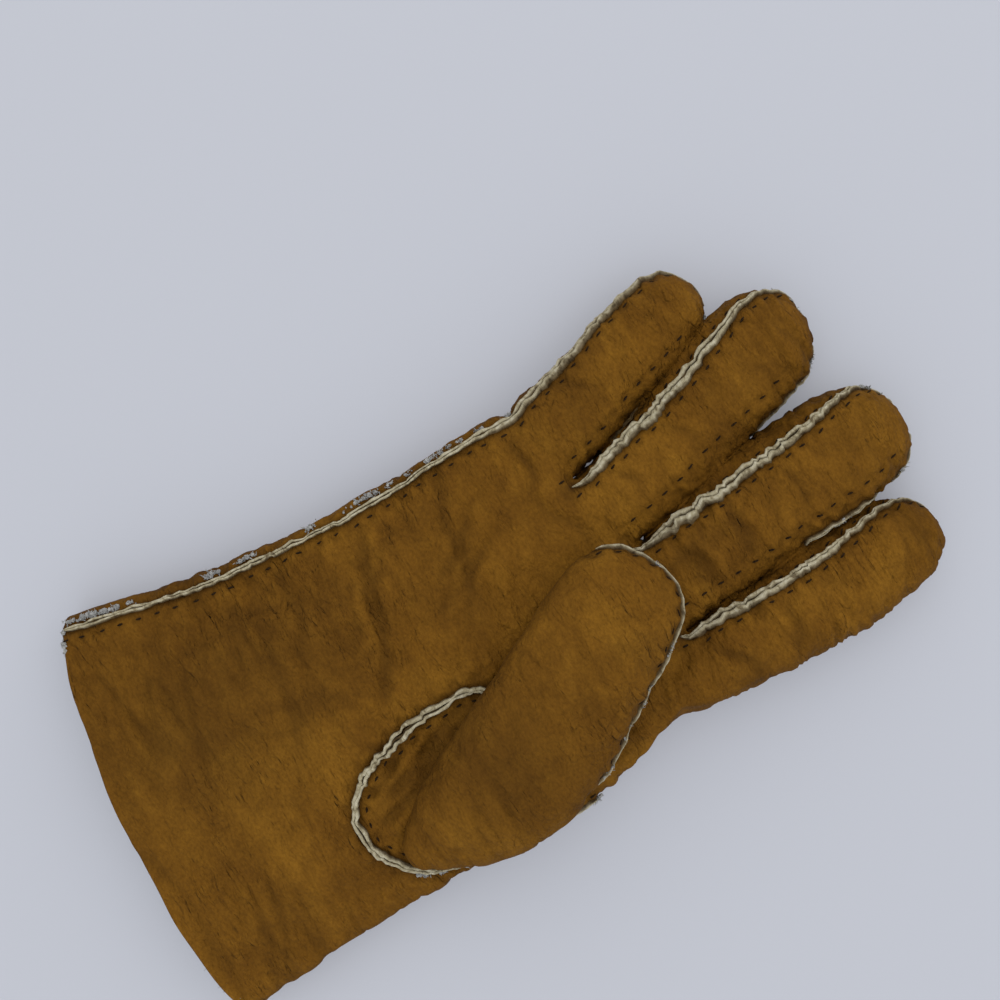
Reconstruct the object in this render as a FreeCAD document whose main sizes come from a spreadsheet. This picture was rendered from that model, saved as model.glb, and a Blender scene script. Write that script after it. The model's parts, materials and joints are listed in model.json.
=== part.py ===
import FreeCAD, Part
import math
import os

import Sketcher

# A shearling glove for the right hand, lying on its back with the palm up and the thumb folded
# over the palm. +Y runs to the fingertips, +X to the thumb side, +Z out of the palm, and the back
# of the glove is flat on Z = 0.

doc = FreeCAD.newDocument("ShearlingGlove")
sheet = doc.addObject("Spreadsheet::Sheet", "Sizes")
values = {}


def driving(alias, number):
    """One driving dimension: a row of the sheet with its alias."""
    row = len(values) + 1
    sheet.set("A" + str(row), alias)
    sheet.set("B" + str(row), str(number))
    sheet.setAlias("B" + str(row), alias)
    values[alias] = number


# the shearling hide: suede outside, clipped wool inside
driving("leather", 1.5)
driving("wool", 5)
driving("layer_gap", 0.05)
driving("joint_gap", 0.3)

# the turned-out seams and their thread
driving("seam_inset", 2)
driving("seam_width", 2.4)
driving("seam_rise", 1.5)
driving("thread_inset", 7.2)
driving("thread_width", 0.6)
driving("thread_rise", 0.5)

# every finger is a flattened tube with a round end
driving("finger_height", 24)
driving("finger_round", 8)
driving("finger_rise", 0.5)
driving("side_strip_edge", 5)
driving("root_lap", 2)
driving("leather_root_end", 3)
driving("wool_root_end", 1.5)
driving("root_zone_spare", 6)
driving("middle_joint_share", 0.44)
driving("reach", 80)
driving("beneath", -10)

fingers = ["index", "middle", "ring", "little"]
fingerSizes = {
    # root x, root y, lean to the little finger, root width, tip width, length, knuckle
    "index": (44.4, 39.4, 3.1, 25.5, 27.5, 90.4, 9),
    "middle": (14.6, 39.4, 4.8, 28, 33, 96.9, 10.5),
    "ring": (-12.3, 35.4, 13, 23.5, 30, 91.7, 11),
    "little": (-40.9, 30.4, 12.5, 29, 25, 71.1, 14),
}
sizeWords = ["root_x", "root_y", "lean", "root_width", "tip_width", "length", "knuckle"]
for finger in fingers:
    for word, number in zip(sizeWords, fingerSizes[finger]):
        driving(finger + "_" + word, number)

# the hand between the cuff and the finger roots: place along Y, middle, width and height
stations = ["cuff", "wrist", "palm", "knuckles"]
stationSizes = {
    "cuff": (-140, -0.9, 139, 24),
    "wrist": (-60, 2.9, 117.5, 26),
    "palm": (-10, 5.4, 117, 26),
    "knuckles": (50, -0.2, 115, 24.6),
}
for station in stations:
    for word, number in zip(["y", "x", "width", "height"], stationSizes[station]):
        driving(station + "_" + word, number)
driving("hand_round", 11)
driving("cuff_edge_radius", 300)
driving("cuff_edge_x", 20.9)
driving("cuff_edge_y", 164.2)
driving("wool_set_back", 1)
driving("side_seam_drop", 6)
driving("side_thread_drop", 3)

# three stitched points on the back of the hand
driving("point_length", 54)
driving("point_width", 3)
driving("point_rise", 0.8)
driving("point_groove", 7.4)
driving("point_thread", 0.6)

# the thumb piece, set in a round hole of the palm
driving("hole_x", 37.1)
driving("hole_y", -45.6)
driving("hole_radius", 22)
driving("hole_seam_inner", 22.8)
driving("hole_seam_outer", 25.2)
driving("hole_seam_top", 28.8)
driving("hole_thread_radius", 19.6)
driving("hole_thread_top", 27)
driving("hole_ring_foot", 15)
driving("hole_cut_foot", 13)
driving("neck_x", 43.1)
driving("neck_y", -39.6)
driving("neck_radius", 12.5)
driving("neck_foot", 20)
driving("neck_bore_spare", 1)
driving("thumb_x", 38.9)
driving("thumb_y", -15.5)
driving("thumb_floor", 29.3)
driving("thumb_lean", 31)
driving("thumb_root_width", 46)
driving("thumb_tip_width", 40)
driving("thumb_length", 70)
driving("thumb_height", 20.7)
driving("thumb_round", 9)
driving("thumb_thread_inset", 8.2)
driving("heel_x", 36.3)
driving("heel_y", -1.6)
driving("heel_lean", 190.8)
driving("heel_root_width", 48)
driving("heel_tip_width", 34)
driving("heel_length", 58.7)
doc.recompute()


def cell(alias):
    """The name of a driving dimension inside an expression."""
    return "Sizes." + alias


def bind(thing, **expressions):
    """Bind properties of a document object to expressions on the sheet."""
    for name, expression in expressions.items():
        thing.setExpression(name.replace("__", "."), expression)


def place(thing, x="0", y="0", z="0", turn="0"):
    """Place a finished object: a position and a turn about Z, from the sheet."""
    thing.setExpression("Placement.Base.x", x)
    thing.setExpression("Placement.Base.y", y)
    thing.setExpression("Placement.Base.z", z)
    if turn != "0":
        thing.Placement.Rotation = FreeCAD.Rotation(FreeCAD.Vector(0, 0, 1), 1)
        thing.setExpression("Placement.Rotation.Angle", turn)
    return thing


def cut(name, base, tool):
    thing = doc.addObject("Part::Cut", name)
    thing.Base = base
    thing.Tool = tool
    return thing


def common(name, base, tool):
    thing = doc.addObject("Part::Common", name)
    thing.Base = base
    thing.Tool = tool
    return thing


def fuse(name, things):
    thing = doc.addObject("Part::MultiFuse", name)
    thing.Shapes = things
    return thing


def group(name, things):
    thing = doc.addObject("Part::Compound", name)
    thing.Links = things
    return thing


def block(name, length, width, height, x, y, z):
    """A box given by its size and its lowest corner, all as expressions."""
    thing = doc.addObject("Part::Box", name)
    bind(thing, Length=length, Width=width, Height=height)
    return place(thing, x, y, z)


def cylinder(name, radius, x, y, z, height):
    thing = doc.addObject("Part::Cylinder", name)
    bind(thing, Radius=radius, Height=height)
    return place(thing, x, y, z)


def plane(body, role):
    """One of the body's own origin planes, found by its role."""
    return next(f for f in body.Origin.OriginFeatures if f.Role == role)


def fingerOutline(sketch, rootWidth, tipWidth, length, inset):
    """A straight-sided outline with a round end, root on the X axis, end towards +Y."""
    number = {w: evaluate(e) for w, e in
              (("root", rootWidth), ("tip", tipWidth), ("length", length), ("inset", inset))}
    half = number["root"] / 2 - number["inset"]
    radius = number["tip"] / 2 - number["inset"]
    centre = number["length"] - number["tip"] / 2
    tilt = math.asin((half - radius) / math.hypot(centre, half))
    right = FreeCAD.Vector(radius * math.cos(tilt), centre + radius * math.sin(tilt), 0)
    left = FreeCAD.Vector(-right.x, right.y, 0)
    rootLeft = FreeCAD.Vector(-half, 0, 0)
    rootRight = FreeCAD.Vector(half, 0, 0)
    circle = Part.Circle(FreeCAD.Vector(0, centre, 0), FreeCAD.Vector(0, 0, 1), radius)
    sketch.addGeometry(Part.LineSegment(rootLeft, rootRight), False)
    sketch.addGeometry(Part.LineSegment(rootRight, right), False)
    sketch.addGeometry(Part.ArcOfCircle(circle, tilt, math.pi - tilt), False)
    sketch.addGeometry(Part.LineSegment(left, rootLeft), False)
    sketch.addConstraint(Sketcher.Constraint("Coincident", 0, 2, 1, 1))
    sketch.addConstraint(Sketcher.Constraint("Tangent", 1, 2, 2, 1))
    sketch.addConstraint(Sketcher.Constraint("Tangent", 2, 2, 3, 1))
    sketch.addConstraint(Sketcher.Constraint("Coincident", 3, 2, 0, 1))
    sketch.addConstraint(Sketcher.Constraint("Symmetric", 0, 1, 0, 2, -1, 1))
    sketch.addConstraint(Sketcher.Constraint("Horizontal", 0))
    sketch.addConstraint(Sketcher.Constraint("PointOnObject", 2, 3, -2))
    named = (("rootWidth", Sketcher.Constraint("DistanceX", 0, 1, 0, 2, 2 * half),
              f"{rootWidth} - 2 * {inset}"),
             ("endRadius", Sketcher.Constraint("Radius", 2, radius),
              f"{tipWidth} / 2 - {inset}"),
             ("endCentre", Sketcher.Constraint("DistanceY", -1, 1, 2, 3, centre),
              f"{length} - {tipWidth} / 2"))
    for name, constraint, expression in named:
        at = sketch.addConstraint(constraint)
        sketch.renameConstraint(at, name)
        sketch.setExpression("Constraints." + name, expression)


def evaluate(expression):
    """The present number of an expression over the sheet's names."""
    found = sheet.evalExpression(expression)
    return float(getattr(found, "Value", found))


def fingerForm(name, who, inset, low, high, rounding=None):
    """A finger-shaped solid, inset all round, between two heights and rounded above and below."""
    body = doc.addObject("PartDesign::Body", name)
    sketch = body.newObject("Sketcher::SketchObject", name + "Outline")
    sketch.AttachmentSupport = (plane(body, "XY_Plane"), [""])
    sketch.MapMode = "FlatFace"
    sketch.setExpression("AttachmentOffset.Base.z", low)
    fingerOutline(sketch, cell(who + "_root_width"), cell(who + "_tip_width"),
                  cell(who + "_length"), inset)
    pad = body.newObject("PartDesign::Pad", name + "Pad")
    pad.Profile = sketch
    pad.setExpression("Length", f"({high}) - ({low})")
    doc.recompute()
    body.Tip = pad
    if rounding:
        bounds = pad.Shape.BoundBox
        flat = [f"Edge{k + 1}" for k, edge in enumerate(pad.Shape.Edges)
                if edge.BoundBox.ZLength < 1e-6 < edge.BoundBox.YLength
                and min(abs(edge.BoundBox.ZMin - bounds.ZMin),
                        abs(edge.BoundBox.ZMin - bounds.ZMax)) < 1e-6]
        fillet = body.newObject("PartDesign::Fillet", name + "Fillet")
        fillet.Base = (pad, flat)
        fillet.setExpression("Radius", rounding)
        doc.recompute()
        body.Tip = fillet
    return body


def layers(prefix, who, height, rounding):
    """The outer form of a finger, its leather shell and its wool shell."""
    skin = cell("leather")
    woolTop = f"({cell('leather')} + {cell('layer_gap')})"
    inside = f"({cell('leather')} + {cell('wool')})"
    forms = {}
    for part, inset in (("outer", "0"), ("bed", skin), ("woolOuter", woolTop),
                        ("cavity", inside)):
        forms[part] = fingerForm(prefix + part, who, inset, inset, f"{height} - {inset}",
                                 f"{rounding} - {inset}")
    shell = cut(prefix + "shell", forms["outer"], forms["bed"])
    woolShell = cut(prefix + "woolShell", forms["woolOuter"], forms["cavity"])
    return forms["outer"], shell, woolShell


def bandAround(name, who, inset, width, low, high):
    """An upright band that follows the outline of a finger."""
    wide = fingerForm(name + "Wide", who, inset, low, high)
    narrow = fingerForm(name + "Narrow", who, f"({inset} + {width})", low, high)
    return cut(name, wide, narrow)


nodes = []


def node(thing, name):
    """Mark an object as a finished sub-part under its own name."""
    thing.Label = name
    nodes.append(thing)
    return thing


# ---- fingers: built along +Y from their own root, cut into stub, lower and upper lengths
stubs = {"trank": [], "fourchettes": [], "fleece": [], "seams": [], "threads": []}
half = cell("joint_gap") + " / 2"
wide = cell("reach")
beneath = cell("beneath")


def fingerSlab(name, start, end):
    """Everything between two cuts across a finger."""
    return block(name, wide, f"{end} - ({start})", wide, f"-{wide} / 2", start, beneath)


def fingerPieces(who):
    """The five kinds of piece of one whole finger, before it is cut at its joints."""
    tall = cell("finger_height")
    outer, shell, woolShell = layers(who, who, tall, cell("finger_round"))
    edge = cell("side_strip_edge")
    left = "0" if who == "little" else f"-{wide} / 2"
    across = wide if who in ("middle", "ring") else f"{wide} / 2"
    strip = block(who + "StripZone", across, f"{wide} * 2", f"{tall} - 2 * {edge}",
                  left, "0", edge)
    trank = cut(who + "Faces", shell, strip)
    fourchettes = common(who + "Strips", shell, strip)
    band = bandAround(who + "Band", who, cell("seam_inset"), cell("seam_width"), "0",
                      f"{tall} + {cell('seam_rise')}")
    seams = cut(who + "BandOutside", band, outer)
    threads = bandAround(who + "Run", who, cell("thread_inset"), cell("thread_width"), tall,
                         f"{tall} + {cell('thread_rise')}")
    if who == "index":
        # the fold side of the index finger has no seam
        fold = block("indexFold", f"{wide} / 2", "Sizes.index_length - Sizes.index_tip_width / 2",
                     wide, "0", "0", beneath)
        seams = cut("indexBandOpen", seams, fold)
        threads = cut("indexRunOpen", threads, fold)
    if who == "little":
        # the outer side of the little finger has one seam, on the palm face
        under = block("littleUnder", f"{wide} / 2", f"{wide} * 2", f"{tall} / 2",
                      f"-{wide} / 2", "0", "0")
        seams = cut("littleBandOpen", seams, under)
    return {"trank": trank, "fourchettes": fourchettes, "fleece": woolShell, "seams": seams,
            "threads": threads}


def cutFinger(who):
    """Cut a finger at its knuckle and middle joint and put the lengths in place."""
    pieces = fingerPieces(who)
    lap = cell("root_lap")
    knuckle = cell(who + "_knuckle")
    end = cell(who + "_length")
    middle = f"({knuckle} + {cell('middle_joint_share')} * ({end} - {knuckle}))"
    slabs = {
        "stub": fingerSlab(who + "StubSlab", lap, f"{knuckle} - {half}"),
        "stubWool": fingerSlab(who + "StubWoolSlab", "0", f"{knuckle} - {half}"),
        "lower": fingerSlab(who + "LowerSlab", f"{knuckle} + {half}", f"{middle} - {half}"),
        "upper": fingerSlab(who + "UpperSlab", f"{middle} + {half}", f"2 * {wide}"),
    }
    for kind, whole in pieces.items():
        for length in ("stub", "lower", "upper"):
            slab = slabs["stubWool" if (length, kind) == ("stub", "fleece") else length]
            piece = common(who + length + kind, whole, slab)
            place(piece, cell(who + "_root_x"), cell(who + "_root_y"), cell("finger_rise"),
                  cell(who + "_lean"))
            if length == "stub":
                stubs[kind].append(piece)
            else:
                node(piece, f"{who}_{length}_{kind}")


for finger in fingers:
    cutFinger(finger)


# ---- hand: rounded sections joined from the cuff to the finger roots
def handSection(name, station, inset):
    """A rounded rectangle standing across the hand at one station, low side at the inset."""
    sketch = doc.addObject("Sketcher::SketchObject", name)
    sketch.Placement.Rotation = FreeCAD.Rotation(FreeCAD.Vector(1, 0, 0), 90)
    sketch.setExpression("Placement.Base.x", cell(station + "_x"))
    sketch.setExpression("Placement.Base.y", cell(station + "_y"))
    sketch.setExpression("Placement.Base.z", cell(station + "_height") + " / 2")
    acrossHalf = values[station + "_width"] / 2 - evaluate(inset)
    upHalf = values[station + "_height"] / 2 - evaluate(inset)
    radius = values["hand_round"] - evaluate(inset)
    x = acrossHalf - radius
    y = upHalf - radius
    up = FreeCAD.Vector(0, 0, 1)

    def side(ax, ay, bx, by):
        line = Part.LineSegment(FreeCAD.Vector(ax, ay, 0), FreeCAD.Vector(bx, by, 0))
        sketch.addGeometry(line, False)

    def corner(cx, cy, start):
        circle = Part.Circle(FreeCAD.Vector(cx, cy, 0), up, radius)
        sketch.addGeometry(Part.ArcOfCircle(circle, start, start + math.pi / 2), False)

    side(-x, -upHalf, x, -upHalf)
    corner(x, -y, -math.pi / 2)
    side(acrossHalf, -y, acrossHalf, y)
    corner(x, y, 0)
    side(x, upHalf, -x, upHalf)
    corner(-x, y, math.pi / 2)
    side(-acrossHalf, y, -acrossHalf, -y)
    corner(-x, -y, math.pi)
    for k in range(8):
        sketch.addConstraint(Sketcher.Constraint("Tangent", k, 2, (k + 1) % 8, 1))
    for k in (0, 4):
        sketch.addConstraint(Sketcher.Constraint("Horizontal", k))
    for k in (3, 5, 7):
        sketch.addConstraint(Sketcher.Constraint("Equal", 1, k))
    sketch.addConstraint(Sketcher.Constraint("Symmetric", 1, 3, 5, 3, -1, 1))
    named = (("turn", Sketcher.Constraint("Radius", 1, radius),
              f"{cell('hand_round')} - {inset}"),
             ("across", Sketcher.Constraint("DistanceX", 7, 3, 1, 3, 2 * x),
              f"{cell(station + '_width')} - 2 * {cell('hand_round')}"),
             ("upright", Sketcher.Constraint("DistanceY", 1, 3, 3, 3, 2 * y),
              f"{cell(station + '_height')} - 2 * {cell('hand_round')}"))
    for label, constraint, expression in named:
        at = sketch.addConstraint(constraint)
        sketch.renameConstraint(at, label)
        sketch.setExpression("Constraints." + label, expression)
    return sketch


def loft(name, sections):
    thing = doc.addObject("Part::Loft", name)
    thing.Sections = sections
    thing.Solid = True
    thing.Ruled = False
    return thing


def handForm(name, inset):
    return loft(name, [handSection(name + station, station, inset) for station in stations])


handOuter = handForm("handOuter", "0")
handBed = handForm("handBed", cell("leather"))
handWoolOuter = handForm("handWoolOuter", f"({cell('leather')} + {cell('layer_gap')})")
handCavity = handForm("handCavity", f"({cell('leather')} + {cell('wool')})")

# the raw cuff edge is a shallow arc, and the wool stands a little back from it
cuffEdge = cylinder("cuffEdge", cell("cuff_edge_radius"), cell("cuff_edge_x"),
                    cell("cuff_edge_y"), beneath, wide)
woolEdge = cylinder("woolEdge", f"{cell('cuff_edge_radius')} - {cell('wool_set_back')}",
                    cell("cuff_edge_x"), cell("cuff_edge_y"), beneath, wide)


def fingerRoots(name, lap):
    """Blocks that clear the hand away beyond each finger's root line."""
    cleared = []
    for who in fingers:
        across = f"({cell(who + '_root_width')} + {cell('root_zone_spare')})"
        zone = doc.addObject("Part::Box", name + who)
        bind(zone, Length=across, Width=wide, Height=wide)
        zone.Placement.Base = FreeCAD.Vector(0, 0, 0)
        shifted = doc.addObject("Part::Compound", name + who + "Zone")
        zone.setExpression("Placement.Base.x", f"-{across} / 2")
        zone.setExpression("Placement.Base.y", lap)
        zone.setExpression("Placement.Base.z", beneath)
        shifted.Links = [zone]
        place(shifted, cell(who + "_root_x"), cell(who + "_root_y"), "0", cell(who + "_lean"))
        cleared.append(shifted)
    return fuse(name, cleared)


leatherEnd = fingerRoots("leatherEnd", cell("leather_root_end"))
woolEnd = fingerRoots("woolEnd", cell("wool_root_end"))
handShell = cut("handShellLong", handOuter, handBed)
thumbHole = cylinder("thumbHole", cell("hole_radius"), cell("hole_x"), cell("hole_y"),
                     cell("hole_cut_foot"), wide)
thumbDisc = cylinder("thumbDisc", f"{cell('hole_radius')} - {cell('layer_gap')}",
                     cell("hole_x"), cell("hole_y"), cell("hole_cut_foot"), wide)
neckHole = cylinder("neckHole", f"{cell('neck_radius')} + {cell('joint_gap')}",
                    cell("neck_x"), cell("neck_y"), cell("hole_cut_foot"), wide)


def pointStrip(name, across, shift, low, rise, x, y, turn):
    """One strip along a stitched point on the back, centred on the point's line."""
    strip = doc.addObject("Part::Box", name)
    bind(strip, Length=across, Width=cell("point_length"), Height=rise)
    strip.setExpression("Placement.Base.x", f"{shift} - {across} / 2")
    strip.setExpression("Placement.Base.y", f"-{cell('point_length')}")
    strip.setExpression("Placement.Base.z", low)
    turned = doc.addObject("Part::Compound", name + "Placed")
    turned.Links = [strip]
    return place(turned, x, y, "0", turn)


# each point starts a little below its crotch and leans to the middle of the wrist
points = {"groove": [], "ridge": [], "thread": []}
for name, x, y, turn in (("outer", -21.9, 12.8, 4), ("centre", 0.7, 18.6, 1),
                         ("inner", 27.5, 18.2, -4)):
    driving(f"point_{name}_x", x)
    driving(f"point_{name}_y", y)
    driving(f"point_{name}_turn", turn)
    at = (cell(f"point_{name}_x"), cell(f"point_{name}_y"), cell(f"point_{name}_turn"))
    points["groove"].append(pointStrip(name + "Groove", cell("point_groove"), "0",
                                       beneath, f"{cell('point_rise')} - ({beneath})", *at))
    points["ridge"].append(pointStrip(name + "Ridge", cell("point_width"), "0", "0",
                                      cell("point_rise"), *at))
    beside = f"({cell('point_width')} / 2 + {cell('point_thread')})"
    for sign in ("-1", "1"):
        points["thread"].append(pointStrip(
            name + "Thread" + ("Left" if sign == "-1" else "Right"), cell("point_thread"),
            f"{sign} * {beside}", f"{cell('point_rise')} - {cell('point_thread')}",
            cell("point_thread"), *at))

palmOpen = cut("palmOpenEnd", common("palmCuffEdge", handShell, cuffEdge), leatherEnd)
palmHole = cut("palmWithHole", palmOpen, thumbHole)
palmGrooved = cut("palmGrooved", palmHole, fuse("pointGrooves", points["groove"]))
handHide = node(fuse("trankHand", [palmGrooved] + stubs["trank"]), "palm_and_back_leather")

woolLong = cut("handWoolLong", handWoolOuter, handCavity)
woolOpen = cut("handWoolOpen", common("handWoolCuff", woolLong, woolEdge), woolEnd)
woolHole = cut("handWoolHole", woolOpen, neckHole)
handWool = fuse("handFleece", [woolHole] + stubs["fleece"])
node(cut("handFleeceTrimmed", handWool, handHide), "hand_fleece")

node(group("forks", stubs["fourchettes"]), "fourchette_forks")
rootSeams = cut("rootSeamsTrimmed", fuse("rootSeams", stubs["seams"]), handHide)
rootThreads = cut("rootThreadsTrimmed", fuse("rootThreads", stubs["threads"]), handHide)
node(rootSeams, "finger_root_seams")
node(rootThreads, "finger_root_threads")
node(group("pointRidges", points["ridge"]), "back_points")
node(group("pointThreads", points["thread"]), "back_point_threads")


# ---- side seam: the trank is closed along the little-finger side, cuff to little finger
def seamSection(name, station, inset, across, drop, rise):
    """An upright rectangle near the outer upper edge of the hand at one station."""
    sketch = doc.addObject("Sketcher::SketchObject", name)
    sketch.Placement.Rotation = FreeCAD.Rotation(FreeCAD.Vector(1, 0, 0), 90)
    sketch.setExpression("Placement.Base.x",
                         f"{cell(station + '_x')} - {cell(station + '_width')} / 2 + {inset}")
    sketch.setExpression("Placement.Base.y", cell(station + "_y"))
    sketch.setExpression("Placement.Base.z", f"{cell(station + '_height')} - {drop}")
    acrossNow = evaluate(across)
    upNow = evaluate(f"{drop} + {rise}")
    corners = [(0, 0), (acrossNow, 0), (acrossNow, upNow), (0, upNow)]
    for k in range(4):
        (ax, ay), (bx, by) = corners[k], corners[(k + 1) % 4]
        line = Part.LineSegment(FreeCAD.Vector(ax, ay, 0), FreeCAD.Vector(bx, by, 0))
        sketch.addGeometry(line, False)
    for k in range(4):
        sketch.addConstraint(Sketcher.Constraint("Coincident", k, 2, (k + 1) % 4, 1))
        sketch.addConstraint(Sketcher.Constraint("Vertical" if k % 2 else "Horizontal", k))
    sketch.addConstraint(Sketcher.Constraint("Coincident", 0, 1, -1, 1))
    for label, constraint, expression in (
            ("across", Sketcher.Constraint("DistanceX", 0, 1, 0, 2, acrossNow), across),
            ("upright", Sketcher.Constraint("DistanceY", 1, 1, 1, 2, upNow),
             f"{drop} + {rise}")):
        at = sketch.addConstraint(constraint)
        sketch.renameConstraint(at, label)
        sketch.setExpression("Constraints." + label, expression)
    return sketch


def sideStrip(name, inset, across, drop, rise, neighbour):
    long = loft(name + "Long", [seamSection(name + station, station, inset, across, drop, rise)
                                for station in stations])
    trimmed = cut(name + "Open", common(name + "Cuff", long, cuffEdge), leatherEnd)
    clear = fuse(name + "Neighbours", [handOuter, handHide, neighbour])
    return cut(name, trimmed, clear)


node(sideStrip("sideSeam", cell("seam_inset"), cell("seam_width"), cell("side_seam_drop"),
               cell("seam_rise"), rootSeams), "side_seam")
node(sideStrip("sideThread", cell("thread_inset"), cell("thread_width"),
               cell("side_thread_drop"), cell("thread_rise"), rootThreads), "side_seam_thread")

# ---- thumb hole: the inset disc of the thumb piece, its loop seam and its thread
gussetDisc = common("gussetDisc", handShell, thumbDisc)
node(cut("gusset", gussetDisc, neckHole), "thumb_gusset")


def ring(name, inner, outer, low, high):
    """An upright ring round the thumb hole, standing on the palm."""
    tube = cut(name + "Tube", cylinder(name + "Outside", outer, cell("hole_x"), cell("hole_y"),
                                       low, f"{high} - {low}"),
               cylinder(name + "Inside", inner, cell("hole_x"), cell("hole_y"), low,
                        f"{high} - {low}"))
    return cut(name, tube, handOuter)


node(ring("holeSeam", cell("hole_seam_inner"), cell("hole_seam_outer"),
          cell("hole_ring_foot"), cell("hole_seam_top")), "thumb_hole_seam")
threadRing = ring("holeThread", cell("hole_thread_radius"),
                  f"{cell('hole_thread_radius')} + {cell('thread_width')}",
                  cell("hole_ring_foot"), cell("hole_thread_top"))
node(cut("holeThreadOpen", threadRing, neckHole), "thumb_hole_thread")

# ---- thumb: a heel over the hole that swings, and the thumb itself that lifts off the palm
driving("heel_height", values["thumb_height"])
thumbOuter, thumbShell, thumbWool = layers("thumb", "thumb", cell("thumb_height"),
                                           cell("thumb_round"))
heelOuter, heelShell, heelWool = layers("heel", "heel", cell("heel_height"),
                                        cell("thumb_round"))
thumbSlab = fingerSlab("thumbSlab", half, f"2 * {wide}")
thumbBand = cut("thumbBandOutside",
                bandAround("thumbBand", "thumb", cell("seam_inset"), cell("seam_width"),
                           f"{cell('thumb_height')} / 2",
                           f"{cell('thumb_height')} + {cell('seam_rise')}"), thumbOuter)
thumbFold = block("thumbFold", f"{wide} / 2", "Sizes.thumb_length - Sizes.thumb_tip_width / 2",
                  wide, f"-{wide} / 2", "0", beneath)
thumbRun = bandAround("thumbRun", "thumb", cell("thumb_thread_inset"),
                      cell("thread_width"), cell("thumb_height"),
                      f"{cell('thumb_height')} + {cell('thread_rise')}")
for thing, label in ((thumbShell, "thumb_leather"), (thumbWool, "thumb_fleece"),
                     (cut("thumbSeamOpen", thumbBand, thumbFold), "thumb_seam"),
                     (cut("thumbRunOpen", thumbRun, thumbFold), "thumb_thread")):
    piece = common(label + "Length", thing, thumbSlab)
    node(place(piece, cell("thumb_x"), cell("thumb_y"), cell("thumb_floor"),
               cell("thumb_lean")), label)

# the heel ends square across the thumb, where the thumb's own length begins
heelSide = doc.addObject("Part::Box", "heelSide")
bind(heelSide, Length=f"2 * {wide}", Width=wide, Height=wide)
heelSide.setExpression("Placement.Base.x", f"-{wide}")
heelSide.setExpression("Placement.Base.y", f"-{wide} - {half}")
heelZone = doc.addObject("Part::Compound", "heelZone")
heelZone.Links = [heelSide]
place(heelZone, cell("thumb_x"), cell("thumb_y"), "0", cell("thumb_lean"))
neckBore = cylinder("neckBore", f"{cell('neck_radius')} - {cell('leather')}", cell("neck_x"),
                    cell("neck_y"), cell("neck_foot"),
                    f"{cell('thumb_floor')} - {cell('neck_foot')} + {cell('leather')} "
                    f"+ {cell('wool')} + {cell('neck_bore_spare')}")
for thing, label in ((heelShell, "thumb_heel_leather"), (heelWool, "thumb_heel_fleece")):
    placed = doc.addObject("Part::Compound", label + "Placed")
    placed.Links = [thing]
    place(placed, cell("heel_x"), cell("heel_y"), cell("thumb_floor"), cell("heel_lean"))
    node(cut(label + "Bored", common(label + "Length", placed, heelZone), neckBore), label)
neck = cut("neckTube", cylinder("neckOutside", cell("neck_radius"), cell("neck_x"),
                                cell("neck_y"), cell("neck_foot"),
                                f"{cell('thumb_floor')} - {cell('neck_foot')}"), neckBore)
node(neck, "thumb_neck")

# ---- write every sub-part
doc.recompute()
troubles = [o.Name for o in doc.Objects if "Invalid" in o.State or "Error" in o.State]
os.makedirs("parts", exist_ok=True)
for thing in nodes:
    shape = thing.Shape
    if shape.isNull() or not shape.isValid() or not shape.Solids:
        troubles.append(thing.Label)
        continue
    shape.exportStep("parts/" + thing.Label + ".step")
    print(thing.Label, len(shape.Solids), round(shape.Volume))
print(len(nodes), "sub-parts; troubles:", troubles)
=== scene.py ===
import json
import math
import random

import bmesh
import bpy
import numpy as np
from mathutils import Matrix, Vector, noise
from mathutils.bvhtree import BVHTree
from mathutils.kdtree import KDTree

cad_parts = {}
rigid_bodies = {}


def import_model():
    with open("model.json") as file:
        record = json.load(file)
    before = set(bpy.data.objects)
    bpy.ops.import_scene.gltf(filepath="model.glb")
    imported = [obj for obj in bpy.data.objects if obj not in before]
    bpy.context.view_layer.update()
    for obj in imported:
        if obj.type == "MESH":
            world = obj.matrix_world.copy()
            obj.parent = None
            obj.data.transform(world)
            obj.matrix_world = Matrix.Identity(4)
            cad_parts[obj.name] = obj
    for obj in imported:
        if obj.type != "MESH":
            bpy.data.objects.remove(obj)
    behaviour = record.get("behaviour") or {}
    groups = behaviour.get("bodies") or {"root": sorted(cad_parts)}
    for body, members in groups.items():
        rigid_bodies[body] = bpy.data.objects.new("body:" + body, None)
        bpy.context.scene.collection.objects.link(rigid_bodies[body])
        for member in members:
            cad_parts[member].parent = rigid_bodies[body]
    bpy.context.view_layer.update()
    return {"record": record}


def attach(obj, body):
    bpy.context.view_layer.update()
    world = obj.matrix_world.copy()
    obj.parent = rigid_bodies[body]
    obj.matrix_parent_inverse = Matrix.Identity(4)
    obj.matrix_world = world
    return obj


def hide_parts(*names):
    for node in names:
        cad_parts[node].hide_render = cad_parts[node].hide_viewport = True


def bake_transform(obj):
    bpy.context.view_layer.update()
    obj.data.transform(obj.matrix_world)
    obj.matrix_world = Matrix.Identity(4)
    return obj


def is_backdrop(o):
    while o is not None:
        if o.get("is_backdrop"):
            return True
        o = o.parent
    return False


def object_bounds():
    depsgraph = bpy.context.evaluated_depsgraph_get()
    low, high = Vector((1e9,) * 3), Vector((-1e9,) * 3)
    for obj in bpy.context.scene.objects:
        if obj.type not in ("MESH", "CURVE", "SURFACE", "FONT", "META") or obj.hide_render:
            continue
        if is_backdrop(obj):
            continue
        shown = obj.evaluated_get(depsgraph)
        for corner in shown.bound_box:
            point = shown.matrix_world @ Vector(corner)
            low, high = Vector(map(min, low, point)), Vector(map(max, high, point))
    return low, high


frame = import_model()
mm = 0.001
shiftX = 3.1  # glove measurements are taken from the crotch line, the frame from the whole box
shiftY = 0.4
random.seed(7)


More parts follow.
